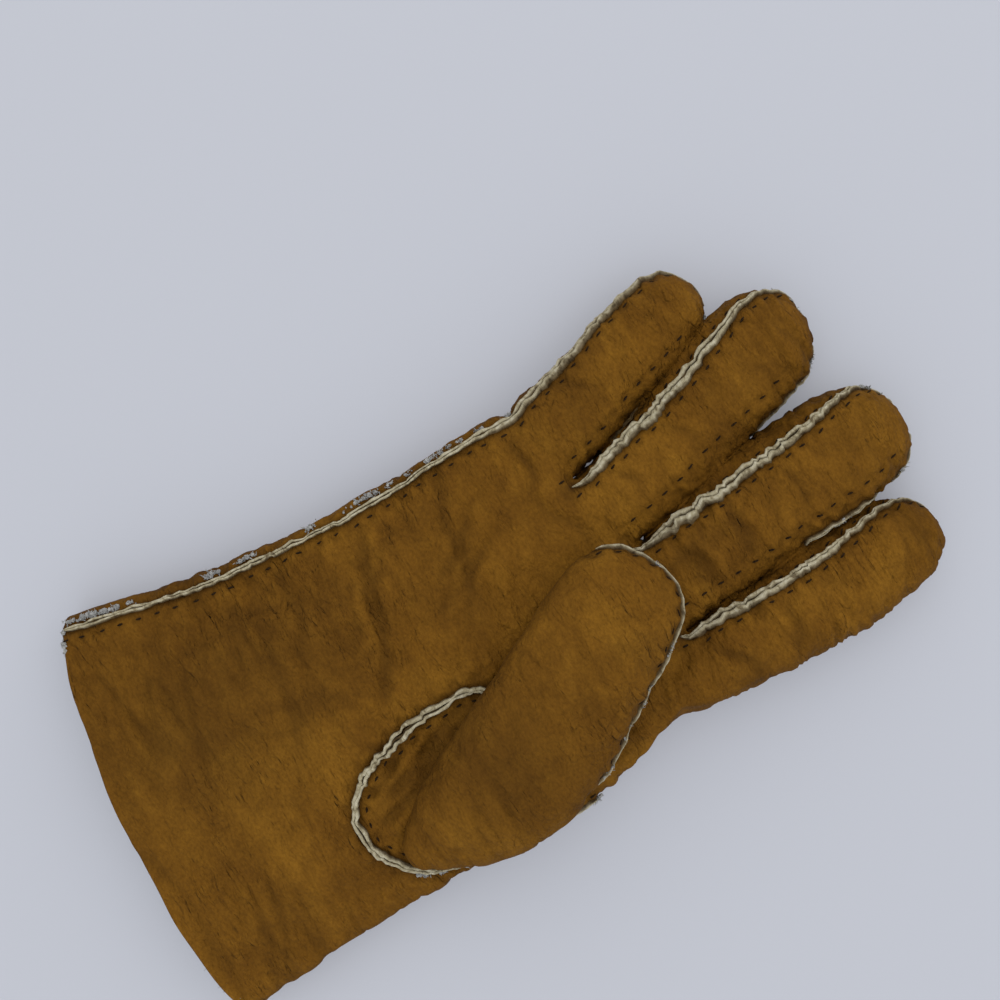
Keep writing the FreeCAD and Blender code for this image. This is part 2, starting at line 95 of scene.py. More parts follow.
def at(x, y, z=0.0):
    return Vector(((x + shiftX) * mm, (y + shiftY) * mm, z * mm))


# joints, as the frame gives them
joints = {j["name"]: j for j in frame["record"]["behaviour"]["joints"]}
fingerNames = ("index", "middle", "ring", "little")


def fingerAxis(name):
    # place of the knuckle and middle joint, and the way the finger points
    knuckle = Vector(joints[name + "_knuckle"]["pos_m"])
    bend = Vector(joints[name + "_middle_joint"]["pos_m"])
    across = Vector(joints[name + "_knuckle"]["axis"])
    forward = Vector((-across.y, across.x, 0))
    return knuckle, bend, forward


# small mesh helpers
def addObject(name, data):
    made = bpy.data.objects.new(name, data)
    bpy.context.scene.collection.objects.link(made)
    return made


def newPiece(name, bm, material, smooth=True):
    mesh = bpy.data.meshes.new(name)
    bm.to_mesh(mesh)
    bm.free()
    piece = addObject(name, mesh)
    mesh.materials.append(material)
    mesh.shade_smooth() if smooth else mesh.shade_flat()
    return piece


def drawOut(bm, ring):
    # draw a ring of edges out once: its fresh corners and its fresh edges
    out = bmesh.ops.extrude_edge_only(bm, edges=ring)["geom"]
    fresh = [g for g in out if isinstance(g, bmesh.types.BMVert)]
    edges = [g for g in out if isinstance(g, bmesh.types.BMEdge)
             and g.verts[0] in fresh and g.verts[1] in fresh]
    return fresh, edges


def mergeForms(forms):
    # several closed forms put in one mesh, not fused
    whole = bmesh.new()
    for form in forms:
        mesh = bpy.data.meshes.new("part")
        form.to_mesh(mesh)
        form.free()
        whole.from_mesh(mesh)
        bpy.data.meshes.remove(mesh)
    return whole


def ringPoint(angle, station):
    # rounded-box section: half width, low and high side, turned by the roll
    power = station.get("power", 2.7)
    c, s = math.cos(angle), math.sin(angle)
    halfUp = (station["high"] - station["low"]) / 2
    x = math.copysign(abs(c) ** (2 / power), c) * station["half"]
    z = math.copysign(abs(s) ** (2 / power), s) * halfUp
    roll = math.radians(station.get("roll", 0))
    x, z = x * math.cos(roll) + z * math.sin(roll), -x * math.sin(roll) + z * math.cos(roll)
    forward = station["forward"]
    side = Vector((forward.y, -forward.x, 0))
    middle = at(station["x"], station["y"], (station["high"] + station["low"]) / 2)
    return middle + side * (x * mm) + Vector((0, 0, z * mm)) + forward * (
        station.get("bow", lambda across: 0)(x) * mm)


def forwards(stations):
    # each section stands square to the run of its neighbours
    for k, station in enumerate(stations):
        before = stations[max(0, k - 1)]
        after = stations[min(len(stations) - 1, k + 1)]
        if "forward" not in station:
            way = Vector((after["x"] - before["x"], after["y"] - before["y"], 0))
            station["forward"] = way.normalized()
    return stations


def roundEnd(station, length, steps=5, blunt=0.75):
    # sections that close a tube in a blunt round end
    made = []
    for k in range(1, steps + 1):
        turn = k / steps * math.pi / 2
        shrink = max(0.06, math.cos(turn) ** blunt)
        middle = (station["high"] + station["low"]) / 2
        halfUp = (station["high"] - station["low"]) / 2 * shrink ** 0.8
        reach = length * math.sin(turn)
        made.append(dict(station, x=station["x"] + station["forward"].x * reach,
                         y=station["y"] + station["forward"].y * reach,
                         half=station["half"] * shrink, low=middle - halfUp,
                         high=middle + halfUp))
    return made


def loftForm(stations, sides=40):
    # a closed tube: a circle drawn out from section to section and capped
    bm = bmesh.new()
    bmesh.ops.create_circle(bm, cap_ends=True, segments=sides, radius=mm)
    ring = list(bm.verts)
    angles = [math.atan2(v.co.y, v.co.x) for v in ring]
    for v, a in zip(ring, angles):
        v.co = ringPoint(a, stations[0])
    edges = list(bm.edges)
    for station in stations[1:]:
        fresh, edges = drawOut(bm, edges)
        for v, a in zip(fresh, angles):
            v.co = ringPoint(a, station)
    bmesh.ops.contextual_create(bm, geom=edges)
    bmesh.ops.recalc_face_normals(bm, faces=bm.faces[:])
    return bm


# the hand and its four fingers, as closed forms
handShape = {
    # y, left edge, right edge, height
    "sections": ((-150, -78, 66, 21), (-137, -75, 65, 21.5), (-124, -71.6, 63.6, 22),
                 (-108, -67.6, 61.8, 23), (-92, -63.6, 60, 24), (-70, -59.8, 58.6, 25.5),
                 (-50, -57.8, 58.6, 26.5), (-30, -56, 60, 27), (-10, -56, 61, 27),
                 (10, -56.4, 58, 26.5), (22, -57, 54.8, 26), (32, -58, 54.2, 25.2),
                 (39, -57, 53.6, 24), (41.4, -55, 51, 20)),
    "power": 3.4,
    "rootSlope": 0.25,  # the finger roots fall back towards the little finger
}
fingerShapes = {
    # x, y, half width; then length of the round end, roll, low and high side
    "index": {"run": ((41, 24, 12.4), (40.9, 44, 13.6), (40.4, 60, 14.2), (39.6, 80, 15.2),
                      (38.4, 98, 15.4), (37.4, 112, 14.4)),
              "end": 14.8, "roll": 5, "low": 0.6, "high": 24.5},
    "middle": {"run": ((13.6, 24, 13.6), (12.2, 44, 14.6), (10, 60, 16), (7.6, 76, 17.6),
                       (5.6, 92, 18.5), (4.4, 108, 18.6), (3.9, 117, 17.4)),
               "end": 15.6, "roll": 14, "low": 0.8, "high": 24.8},
    "ring": {"run": ((-12, 22, 12.6), (-15.8, 42, 13), (-19.3, 56, 13.8), (-23.3, 70, 14.8),
                     (-28.2, 84, 16), (-33.1, 97, 17.2), (-35.4, 106, 16.8)),
             "end": 15.6, "roll": 14, "low": 0.8, "high": 24.8},
    "little": {"run": ((-39.5, 16, 15), (-43.2, 34, 14.8), (-46.5, 50, 14), (-50.3, 62, 13.6),
                       (-54, 74, 13.2), (-57.6, 85, 12.4)),
               "end": 12.2, "roll": 3, "low": 0.6, "high": 23.5},
}
fingerSlim = 1.8  # the forms start slimmer than the fingers, which then swell
thumbShape = {
    # x, y, half width, low side, high side
    "run": ((45.4, -62, 3.5, 23, 27.5), (44.6, -55.5, 9.6, 21, 31.5),
            (42.9, -46, 15.4, 20.5, 37.5), (40.6, -35, 19.6, 20.5, 42.5),
            (37.2, -21, 22.6, 21, 46.4), (30.4, -6.6, 23, 25, 47.6),
            (22.4, 8, 22, 26.6, 47.8), (15.4, 19.5, 20.8, 26.6, 47.4),
            (11.2, 26.6, 19.6, 26.6, 46.6)),
    "end": 18.8, "edge": 2.2,
}


def handForm():
    stations = []
    for y, left, right, high in handShape["sections"]:
        slope = handShape["rootSlope"] * min(1, max(0, (y - 10) / 20))
        stations.append({"x": (left + right) / 2, "y": y, "half": (right - left) / 2,
                         "low": 0, "high": high, "power": handShape["power"],
                         "forward": Vector((0, 1, 0)),
                         "bow": lambda x, slope=slope: min(0, x + 3) * slope})
    return loftForm(stations, 72)


def fingerForm(shape):
    stations = forwards([{"x": x, "y": y, "half": half - fingerSlim, "low": shape["low"],
                          "high": shape["high"], "roll": shape["roll"] * min(1, k / 2)}
                         for k, (x, y, half) in enumerate(shape["run"])])
    return loftForm(stations + roundEnd(stations[-1], shape["end"]))


def thumbForm():
    stations = forwards([{"x": x, "y": y, "half": half, "low": low, "high": high,
                          "power": thumbShape["edge"]} for x, y, half, low, high in thumbShape["run"]])
    return loftForm(stations + roundEnd(stations[-1], thumbShape["end"]))


def joinForms(name, forms):
    whole = mergeForms(forms)
    mesh = bpy.data.meshes.new(name)
    whole.to_mesh(mesh)
    whole.free()
    return addObject(name, mesh)


def applyAll(piece):
    # the mesh as its modifiers leave it, with the modifiers gone
    graph = bpy.context.evaluated_depsgraph_get()
    graph.update()
    mesh = bpy.data.meshes.new_from_object(piece.evaluated_get(graph))
    piece.modifiers.clear()
    old = piece.data
    piece.data = mesh
    bpy.data.meshes.remove(old)


def coords(mesh, what="co"):
    data = np.empty(len(mesh.vertices) * 3)
    if what == "co":
        mesh.vertices.foreach_get("co", data)
    else:
        mesh.vertex_normals.foreach_get("vector", data)
    return data.reshape(-1, 3)


def setCoords(mesh, data):
    mesh.vertices.foreach_set("co", data.reshape(-1))
    mesh.update()


skinWork = {"voxel": 1.9, "pressure": 3.0, "shrink": -0.035, "frames": 16, "cap": 2.2,
            "smooth": 6, "relaxed": 0.3}


def inflate(piece, swell=0.0):
    # even mesh, then a short cloth run under pressure so the hide puffs and wrinkles
    remesh = piece.modifiers.new("even", "REMESH")
    remesh.mode = "VOXEL"
    remesh.voxel_size = skinWork["voxel"] * mm
    relax = piece.modifiers.new("relax", "SMOOTH")
    relax.factor = 0.5
    relax.iterations = skinWork["smooth"]
    applyAll(piece)
    if swell:
        # only in front of the finger roots, easing in over a few millimetres
        grow = np.clip((coords(piece.data)[:, 1] - at(0, 30).y) / (8 * mm), 0, 1) * swell * mm
        setCoords(piece.data, coords(piece.data) + coords(piece.data, "normal")
                  * grow[:, None])
    still = coords(piece.data).copy()
    cloth = piece.modifiers.new("cloth", "CLOTH")
    cloth.settings.quality = 5
    cloth.settings.mass = 0.3
    cloth.settings.tension_stiffness = 15
    cloth.settings.bending_stiffness = 0.6
    cloth.settings.use_pressure = True
    cloth.settings.uniform_pressure_force = skinWork["pressure"]
    cloth.settings.shrink_min = skinWork["shrink"]
    cloth.settings.effector_weights.gravity = 0
    cloth.collision_settings.use_collision = False
    cloth.point_cache.frame_start = 1
    cloth.point_cache.frame_end = skinWork["frames"]
    for f in range(1, skinWork["frames"] + 1):
        bpy.context.scene.frame_set(f)
    applyAll(piece)
    bpy.context.scene.frame_set(1)
    moved = coords(piece.data)
    step = moved - still
    size = np.linalg.norm(step, axis=1, keepdims=True)
    cap = skinWork["cap"] * mm
    step *= np.minimum(1, cap / np.maximum(size, 1e-9))
    setCoords(piece.data, still + step)
    subdivide = piece.modifiers.new("fine", "SUBSURF")
    subdivide.levels = subdivide.render_levels = 1
    applyAll(piece)


# seams: place, height and size of each run, in glove measurements
seamRuns = {
    "sideSeam": ((-72, -123.5, 27, 0.55), (-67, -104, 27, 0.55), (-62.2, -84, 28, 0.55),
                 (-59, -62, 29, 0.55), (-57, -40, 29, 0.55), (-55.6, -20, 30, 0.55),
                 (-56, 0, 30, 0.6), (-57, 20, 28, 0.7), (-59.4, 38, 25, 0.8),
                 (-62.4, 52, 22, 0.85), (-66.4, 67, 20, 0.8), (-69.4, 80, 19, 0.7),
                 (-70.6, 89, 16, 0.5), (-68.5, 96.6, 14, 0.35), (-62, 100.6, 13, 0.3),
                 (-54, 99.6, 13, 0.3)),
    "littleInner": ((-28, 40, 8, 0.1), (-30, 48, 9, 0.3), (-33.4, 58, 12, 0.35),
                    (-38, 70, 12, 0.4), (-42, 82, 12, 0.35), (-45.5, 92, 12, 0.35),
                    (-49, 97, 14, 0.3), (-54, 99.6, 13, 0.3)),
    "ringOuter": ((-27.4, 35, 25, 0.4), (-30.2, 47, 25, 0.85), (-33, 58, 25, 1.05),
                  (-35.5, 69, 25, 1.1), (-38.5, 81, 25, 1), (-42.3, 92, 24, 0.9),
                  (-45.4, 104, 22, 0.7), (-46, 113, 18, 0.5), (-43.6, 121, 14, 0.3),
                  (-37, 126, 13, 0.3), (-31, 125.4, 13, 0.3)),
    "ringInner": ((-3.4, 46, 8, 0.1), (-4.6, 56, 9, 0.3), (-7.4, 66, 12, 0.4),
                  (-10.6, 78, 12, 0.4), (-13.4, 90, 12, 0.4), (-16, 102, 12, 0.4),
                  (-20, 113, 14, 0.35), (-24, 121, 13, 0.3), (-31, 125.4, 13, 0.3)),
    "middleOuter": ((-2.5, 42, 25, 0.4), (-3, 56, 25, 1.1), (-3, 70, 25, 1.2),
                    (-4.5, 81, 25, 1.1), (-6, 96, 25, 1.05), (-7.2, 110, 24, 0.9),
                    (-9.6, 120, 22, 0.65), (-9.8, 128, 17, 0.4), (-7, 134.6, 13, 0.3),
                    (0, 137.6, 12, 0.3), (6, 137, 12, 0.3)),
    "middleInner": ((26, 47, 8, 0.1), (26, 57, 10, 0.35), (26, 70, 12, 0.45),
                    (25, 84, 12, 0.4), (24, 98, 12, 0.4), (23, 110, 12, 0.4),
                    (22, 120, 12, 0.35), (19, 129.6, 14, 0.3), (13.6, 135.4, 13, 0.3),
                    (6, 137, 12, 0.3)),
    "indexOuter": ((28.5, 41, 25, 0.4), (28.4, 52, 25, 0.95), (29, 64, 25, 1.05),
                   (29, 82, 25, 0.95), (27.4, 98, 24, 0.75), (25.4, 109, 22, 0.55),
                   (25.4, 118, 18, 0.4), (28.2, 125.8, 14, 0.3), (35, 130.6, 12, 0.3),
                   (42.6, 129, 12, 0.3), (48.4, 124, 12, 0.3), (51.6, 117, 12, 0.3)),
}
# the two thumb seams, on the thumb's own form and on the palm
thumbRuns = {
    "thumbSeam": ((-10, 31, 38, 0.2), (-8.4, 36, 38, 0.4), (-4.5, 41.6, 37, 0.45),
                  (0, 45.2, 37, 0.45), (5, 47.6, 37, 0.45), (11, 48.2, 37, 0.4),
                  (17, 46.8, 37, 0.4), (23, 43.6, 38, 0.4), (27.6, 39.6, 38, 0.4),
                  (32, 34.4, 38, 0.4), (37, 28.2, 38, 0.4), (42, 21.8, 38, 0.4),
                  (46.6, 15.2, 38, 0.4), (50.8, 7.4, 37, 0.4), (55, 1.6, 36, 0.4),
                  (60.6, -1.6, 33, 0.4)),
    "thumbHoleSeam": ((15, -14, 28, 0.9), (10, -22, 27, 0.9), (9.5, -30, 27, 0.95),
                      (10.6, -41, 27, 1), (12.6, -52, 27, 1), (17, -62.4, 27, 0.95),
                      (24, -69.6, 27, 0.9), (33, -72, 26, 0.9), (42, -70.4, 26, 0.9),
                      (50, -65.2, 25, 0.8), (55.8, -56.4, 23, 0.75), (58.6, -47, 21, 0.7),
                      (60.4, -37, 19, 0.65), (61.8, -26, 18, 0.6), (62.4, -14, 18, 0.5),
                      (61.6, -3, 20, 0.4)),
}
pointRuns = {
    "pointOuter": ((-25, 12.6, -5, 0.1), (-24, -14, -5, 0.5), (-21.4, -41, -5, 0.1)),
    "pointCentre": ((-2.4, 18.2, -5, 0.1), (-2.2, -8, -5, 0.5), (-1.6, -36, -5, 0.1)),
    "pointInner": ((24.4, 17.8, -5, 0.1), (23, -8, -5, 0.5), (20.6, -36, -5, 0.1)),
}


stitchInset = 4.4  # how far in from the far side of a finger its row of stitches shows


def stitchLine(run):
    # the row of stitches on the palm face beside a seam that lies low on the finger's side
    return [(x - stitchInset, y, 26, 0.3) for x, y, z, size in run[:-2]]


def onTheBack(run):
    # the same seam on the back of the finger, rising to meet the first one at the tip
    heights = [2] * (len(run) - 3) + [4, 8, 12]
    return [(x, y, height, 0.45) for (x, y, z, size), height in zip(run, heights)]


def smoothRun(points, step=0.5):
    # an even run along a smooth curve through the given points, in millimetres
    knots = [Vector(p) for p in points]
    ends = [knots[0] * 2 - knots[1]] + knots + [knots[-1] * 2 - knots[-2]]
    dense = []
    for a, b, c, d in zip(ends, ends[1:], ends[2:], ends[3:]):
        for k in range(16):
            s = k / 16
            dense.append(0.5 * (2 * b + (c - a) * s + (2 * a - 5 * b + 4 * c - d) * s * s
                                + (3 * b - a - 3 * c + d) * s ** 3))
    dense.append(knots[-1])
    made = [dense[0]]
    spare = 0.0
    for p, q in zip(dense, dense[1:]):
        gap = (q - p).length
        while spare + gap >= step:
            p = p.lerp(q, (step - spare) / gap)
            gap = (q - p).length
            made.append(p.copy())
            spare = 0.0
        spare += gap
    return made


def onSkin(tree, run):
    # lay a run on the skin: place, outward direction, way along and distance for each step
    placed = []
    for p in run:
        where, normal, index, gap = tree.find_nearest(at(p[0], p[1], p[2]))
        placed.append([where, normal])
    spots = []
    total = 0.0
    for k, (where, normal) in enumerate(placed):
        near = placed[max(0, k - 6):k + 7]
        up = sum((n for w, n in near), Vector()).normalized()
        middle = sum((w for w, n in near), Vector()) / len(near)
        along = (near[-1][0] - near[0][0]).normalized()
        if k:
            total += (middle - spots[-1]["spot"]).length
        spots.append({"spot": middle, "up": up, "along": along, "size": run[k][3],
                      "side": along.cross(up).normalized(), "far": total})
    for s in spots:
        # the ridge dies away at both ends of its seam
        room = min(s["far"], total - s["far"]) / mm
        s["size"] *= min(1, 0.3 + room / 6)
    return spots


def nearestSpots(points, spots):
    # for many points: distance to the run, distance along it, and the ridge's size there
    tree = KDTree(len(spots))
    for k, s in enumerate(spots):
        tree.insert(s["spot"], k)
    tree.balance()
    found = [tree.find(p) for p in points]
    gap = np.array([d for where, k, d in found])
    far = np.array([spots[k]["far"] for where, k, d in found])
    size = np.array([spots[k]["size"] for where, k, d in found])
    return gap, far, size


stitchPitch = 6 * mm
# shade, stitchShade and sideShade: how dark the painted shade is in the seam valleys, at the stitches and
# on the sides turned away from the top
pucker = {"valley": 1.1, "valleyWidth": 1.6, "dimple": 0.7, "dimpleAt": 3.3,
          "dimpleWidth": 1.5, "crown": 0.4, "shade": 0.8, "shadeWidth": 2.2,
          "stitchShade": 0.35, "sideShade": 0.4}


def pressSeams(mesh, runs, folds, rows=()):
    # the hide sinks at each seam and dimples at every stitch, and is painted darker there as painted shade;
    # its sides that turn away from the top get painted shade too
    points = coords(mesh)
    normals = coords(mesh, "normal")
    push = np.zeros(len(points))
    shade = folds
    for spots in runs:
        gap, far, size = nearestSpots(points, spots)
        gap = gap / mm
        beat = 0.5 + 0.5 * np.cos(2 * math.pi * far / stitchPitch)
        push -= pucker["valley"] * size * np.exp(-(gap / pucker["valleyWidth"]) ** 2)
        near = np.exp(-((gap - pucker["dimpleAt"]) / pucker["dimpleWidth"]) ** 2)
        push += near * (pucker["crown"] * (1 - beat) - pucker["dimple"] * beat)
        # painted shade in the seam valley and in the stitch dimples
        shade = np.maximum(shade, pucker["shade"] * np.exp(-(gap / pucker["shadeWidth"]) ** 2))
        shade = np.maximum(shade, pucker["stitchShade"] * near * beat)
    for spots in rows:
        gap, far, size = nearestSpots(points, spots)
        beat = 0.5 + 0.5 * np.cos(2 * math.pi * far / stitchPitch)
        near = np.exp(-(gap / mm / pucker["dimpleWidth"]) ** 2) * beat
        push -= pucker["dimple"] * near
        # painted shade in the dimples of the stitch rows
        shade = np.maximum(shade, pucker["stitchShade"] * near)
    setCoords(mesh, points + normals * (push * mm)[:, None])
    # painted shade: the more a face turns away from the top, the darker it is painted
    turned = np.clip(1 - np.abs(coords(mesh, "normal")[:, 2]), 0, 1) ** 1.5
    return np.clip(shade + turned * pucker["sideShade"], 0, 1)


def softNoise(points, sizes, seed, octaves=3):
    out = np.empty(len(points))
    sx, sy, sz = (1000 / s for s in sizes)
    for i, (x, y, z) in enumerate(points):
        out[i] = noise.fractal(Vector((x * sx + seed, y * sy, z * sz)), 0.9, 2.1, octaves)
    return out


creases = {
    # start, end, depth, width: folds the hand has left in the hide; the depth also sets how dark their
    # painted shade is
    "palmLong": ((-52, -24), (4, -46), 1.2, 1.6),
    "palmUnderKnuckles": ((-50, 2), (-6, -10), 1.0, 1.6),
    "palmInner": ((-28, 14), (-14, -20), 0.9, 1.6),
    "palmFan": ((-40, 12), (-22, -14), 0.9, 1.5),
    "ringRootLeft": ((-52, 29), (-30, 25), 1.0, 1.5),
    "ringRootRight": ((-30, 25), (-8, 33), 0.8, 1.5),
    "wristLow": ((-50, -62), (8, -78), 0.7, 2.2),
    "wristHigh": ((-56, -52), (-22, -60), 0.8, 1.8),
    "littleFold": ((-60, 50), (-44, 58), 0.7, 1.5),
    "ringFoldLow": ((-30, 50), (-12, 54), 0.7, 1.5),
    "ringFoldHigh": ((-34, 70), (-16, 76), 0.7, 1.6),
    "middleFoldLow": ((0, 54), (22, 60), 0.9, 1.5),
    "middleFoldHigh": ((-2, 76), (20, 72), 0.9, 1.6),
    "middleFoldTop": ((-4, 98), (16, 94), 0.6, 1.6),
    "indexFoldLow": ((32, 50), (54, 58), 0.9, 1.5),
    "indexFoldHigh": ((31, 76), (52, 72), 0.8, 1.6),
    "gussetA": ((13, -26), (27, -60), 2.6, 1.6),
    "gussetB": ((17, -27), (34, -66), 2.6, 1.6),
    "gussetC": ((14, -44), (24, -66), 2.0, 1.4),
    "cuffLeft": ((-58, -96), (-20, -104), 0.3, 3),
}
# shade: how dark the painted shade in the wrinkle lines and folds is
wrinkleLook = {"broad": 1.1, "line": 0.75, "lineWidth": 0.13, "shade": 0.4}


def wrinkle(mesh, strength=1.0, creased=True):
    # broad unevenness, thin wrinkles in patches, and the hand's own folds, each with painted shade in its
    # valleys
    points = coords(mesh)
    normals = coords(mesh, "normal")
    push = softNoise(points, (44, 34, 60), 3.1, 2) * wrinkleLook["broad"]
    shade = np.zeros(len(points))
    for sizes, seed, share in (((40, 12, 30), 9.7, 1), ((18, 26, 30), 27.2, 0.6),
                               ((24, 7, 24), 41.0, 0.9)):
        across = softNoise(points, sizes, seed, 2)
        patches = np.clip(softNoise(points, (40, 30, 60), seed + 8, 1) * 1.6 + 0.45, 0, 1)
        line = np.exp(-(across / wrinkleLook["lineWidth"]) ** 2) * patches * share
        push += (0.6 * across * patches - wrinkleLook["line"] * line) * strength
        # painted shade along the wrinkle lines
        shade += line * strength * 0.6
    if creased:
        for start, end, depth, width in creases.values():
            a, b = np.array(at(*start)), np.array(at(*end))
            line = b - a
            t = np.clip(((points - a) @ line) / (line @ line), 0, 1)
            bow = np.sin(t * math.pi * 2.3) * 0.0016
            off = points - a - t[:, None] * line
            gap = np.hypot(off[:, 0], off[:, 1] + bow) / mm
            fade = np.sin(np.clip(t, 0.02, 0.98) * math.pi) ** 0.5
            top = (normals[:, 2] > 0.2) * fade
            push -= depth * np.exp(-(gap / width) ** 2) * top
            push += 0.4 * depth * np.exp(-((gap - 2.2 * width) / width) ** 2) * top
            # painted shade in the fold's valley
            shade += depth * np.exp(-(gap / width) ** 2) * top
    setCoords(mesh, points + normals * (push * mm)[:, None])
    return np.clip(shade, 0, 1) * wrinkleLook["shade"]


def settle(mesh):
    # nothing under the table top the glove lies on
    points = coords(mesh)
    soft = 0.8 * mm
    below = points[:, 2] < soft
    points[below, 2] = soft * np.exp((points[below, 2] - soft) / soft * 0.9) * 0.9 + soft * 0.1
    points[:, 2] = np.maximum(points[:, 2], 0.05 * mm)
    setCoords(mesh, points)


# which finger a place belongs to, and where the fingers are parted
fingerCut = {"behindKnuckle": 5.5, "midShare": 0.52}


def fingerPlaces(name):
    # far along the finger: where it leaves the hand, parts, and has finished bending
    knuckle, bend, forward = fingerAxis(name)
    run = (bend - knuckle).dot(forward)
    return {"root": -fingerCut["behindKnuckle"] * mm, "part": run * fingerCut["midShare"],
            "tip": run * (2 - fingerCut["midShare"]), "from": knuckle, "forward": forward}


def ownersOf(points):
    # for many points: the number of the finger whose own line is nearest for its width
    found = []
    for name in fingerNames:
        line = [(np.array(at(x, y).xy), half * mm) for x, y, half in fingerShapes[name]["run"]]
        best = np.full(len(points), 1e9)
        for k, ((a, halfA), (b, halfB)) in enumerate(zip(line, line[1:])):
            way = b - a
            t = ((points[:, :2] - a) @ way) / (way @ way)
            t = np.clip(t, 0, 2 if k == len(line) - 2 else 1)
            off = np.linalg.norm(points[:, :2] - a - t[:, None] * way, axis=1)
            best = np.minimum(best, off / (halfA + (halfB - halfA) * np.minimum(t, 1)))
        found.append(best)
    return np.argmin(np.array(found), 0)


def partOf(place, name):
    p = fingerPlaces(name)
    far = (place - p["from"]).dot(p["forward"])
    if far < p["root"]:
        return "hand"
    return "lower" if far < p["part"] else "upper"


def bendPiece(piece, part):
    if part == "lower":
        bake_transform(piece)
    else:
        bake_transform(piece)


fingerPucker = {"size": (19, 6.5, 40), "lineWidth": 0.11, "edge": 9, "rise": 0.55, "line": 0.5,
                "shade": 0.45, "rootBehind": 10, "rootEase": 12}


def fingerFolds(mesh):
    # short puckers across each finger, strongest beside the seams and at the joints, with painted shade in
    # the pucker lines
    points = coords(mesh)
    normals = coords(mesh, "normal")
    push = np.zeros(len(points))
    shade = np.zeros(len(points))
    owners = ownersOf(points)
    for k, name in enumerate(fingerNames):
        p = fingerPlaces(name)
        forward = np.array(p["forward"])
        side = np.array((forward[1], -forward[0], 0))
        local = points - np.array(p["from"])
        far = local @ forward / mm
        off = local @ side / mm
        mine = (owners == k) & (points[:, 1] > at(0, 30).y)
        turned = np.stack((off / 1000, far / 1000, points[:, 2]), 1)
        across = softNoise(turned, fingerPucker["size"], 5.5 * k + 2, 3)
        line = np.exp(-(across / fingerPucker["lineWidth"]) ** 2)
        edge = np.clip(np.abs(off) / fingerPucker["edge"], 0.25, 1)
        fade = np.clip((far + fingerPucker["rootBehind"]) / fingerPucker["rootEase"], 0, 1) * mine
        push += (fingerPucker["rise"] * across - fingerPucker["line"] * line * edge) * fade
        # painted shade along the pucker lines
        shade += fingerPucker["shade"] * line * edge * fade
    setCoords(mesh, points + normals * (push * mm)[:, None])
    return shade * wrinkleLook["shade"]


# materials
def nodesFor(name, rough, **shader):
    material = bpy.data.materials.new(name)
    material.use_nodes = True
    tree = material.node_tree
    surface = tree.nodes["Principled BSDF"]
    surface.inputs["Roughness"].default_value = rough
    for socket, value in shader.items():
        surface.inputs[socket.replace("_", " ")].default_value = value
    place = tree.nodes.new("ShaderNodeTexCoord").outputs["Object"]
    return material, tree, surface, place


def stretched(tree, place, size, turn=0.0):
    # object coordinates scaled so one unit is the given size in millimetres
    mapping = tree.nodes.new("ShaderNodeMapping")
    tree.links.new(place, mapping.inputs["Vector"])
    mapping.inputs["Scale"].default_value = tuple(1000 / s for s in size)
    mapping.inputs["Rotation"].default_value = (0, 0, math.radians(turn))
    return mapping.outputs["Vector"]


def noiseNode(tree, vector, detail=4, rough=0.55, distort=0.0):
    node = tree.nodes.new("ShaderNodeTexNoise")
    node.inputs["Scale"].default_value = 1
    node.inputs["Detail"].default_value = detail
    node.inputs["Roughness"].default_value = rough
    node.inputs["Distortion"].default_value = distort
    tree.links.new(vector, node.inputs["Vector"])
    return node.outputs["Fac"]


def ramp(tree, value, stops):
    node = tree.nodes.new("ShaderNodeValToRGB")
    first, last = node.color_ramp.elements
    first.position, first.color = stops[0][0], (*stops[0][1], 1)
    last.position, last.color = stops[-1][0], (*stops[-1][1], 1)
    for position, colour in stops[1:-1]:
        node.color_ramp.elements.new(position).color = (*colour, 1)
    tree.links.new(value, node.inputs["Fac"])
    return node.outputs["Color"]


def mix(tree, a, b, fac, kind="MIX"):
    node = tree.nodes.new("ShaderNodeMix")
    node.data_type = "RGBA"
    node.blend_type = kind
    for socket, value in ((0, fac), (6, a), (7, b)):
        if isinstance(value, (int, float)):
            node.inputs[socket].default_value = value
        elif isinstance(value, tuple):
            node.inputs[socket].default_value = (*value, 1)
        else:
            tree.links.new(value, node.inputs[socket])
    return node.outputs[2]


def bump(tree, height, strength, distance, under=None):
    node = tree.nodes.new("ShaderNodeBump")
    node.inputs["Strength"].default_value = strength
    node.inputs["Distance"].default_value = distance * mm
    tree.links.new(height, node.inputs["Height"])
    if under is not None:
        tree.links.new(under, node.inputs["Normal"])
    return node.outputs["Normal"]


def attribute(tree, name):
    node = tree.nodes.new("ShaderNodeAttribute")
    node.attribute_name = name
    return node.outputs["Fac"]


paintedShadePatches = {
    # x, y, radius, how much darker: broad soft patches painted darker as painted shade
    "cuffMiddle": (-22, -98, 36, 0.36), "thumbBase": (34, -22, 22, 0.38),
    "littleEdge": (-50, 40, 22, 0.12), "palmLow": (-30, -50, 22, 0.12),
}
# seamShade is the colour of the painted shade at seams, stitches, folds and sides; the crease colour
# darkens the crease lines as painted shade
suede = {"dark": (0.105, 0.043, 0.0040), "middle": (0.155, 0.066, 0.0058),
         "light": (0.232, 0.105, 0.0098), "seamShade": (0.028, 0.0115, 0.0018), "rough": 0.8,
         "paintedCreaseShade": (0.86, 0.83, 0.76), "creaseDepth": 1.0}


def paintedPatchShade(mesh):
    # painted shade: soft round patches, darkest at their middle
    points = coords(mesh)
    shade = np.zeros(len(points))
    for x, y, radius, amount in paintedShadePatches.values():
        off = points - np.array(at(x, y))
        gap = np.hypot(off[:, 0], off[:, 1]) / (radius * mm)
        shade += amount * np.exp(-gap ** 2)
    return shade


def creaseLines(tree, vector, width):
    # thin winding lines: low in the line and high on both sides
    path = noiseNode(tree, vector, 3, 0.5, 0.35)
    return ramp(tree, path, ((0.5 - width, (1, 1, 1)), (0.5, (0, 0, 0)),
                             (0.5 + width, (1, 1, 1))))


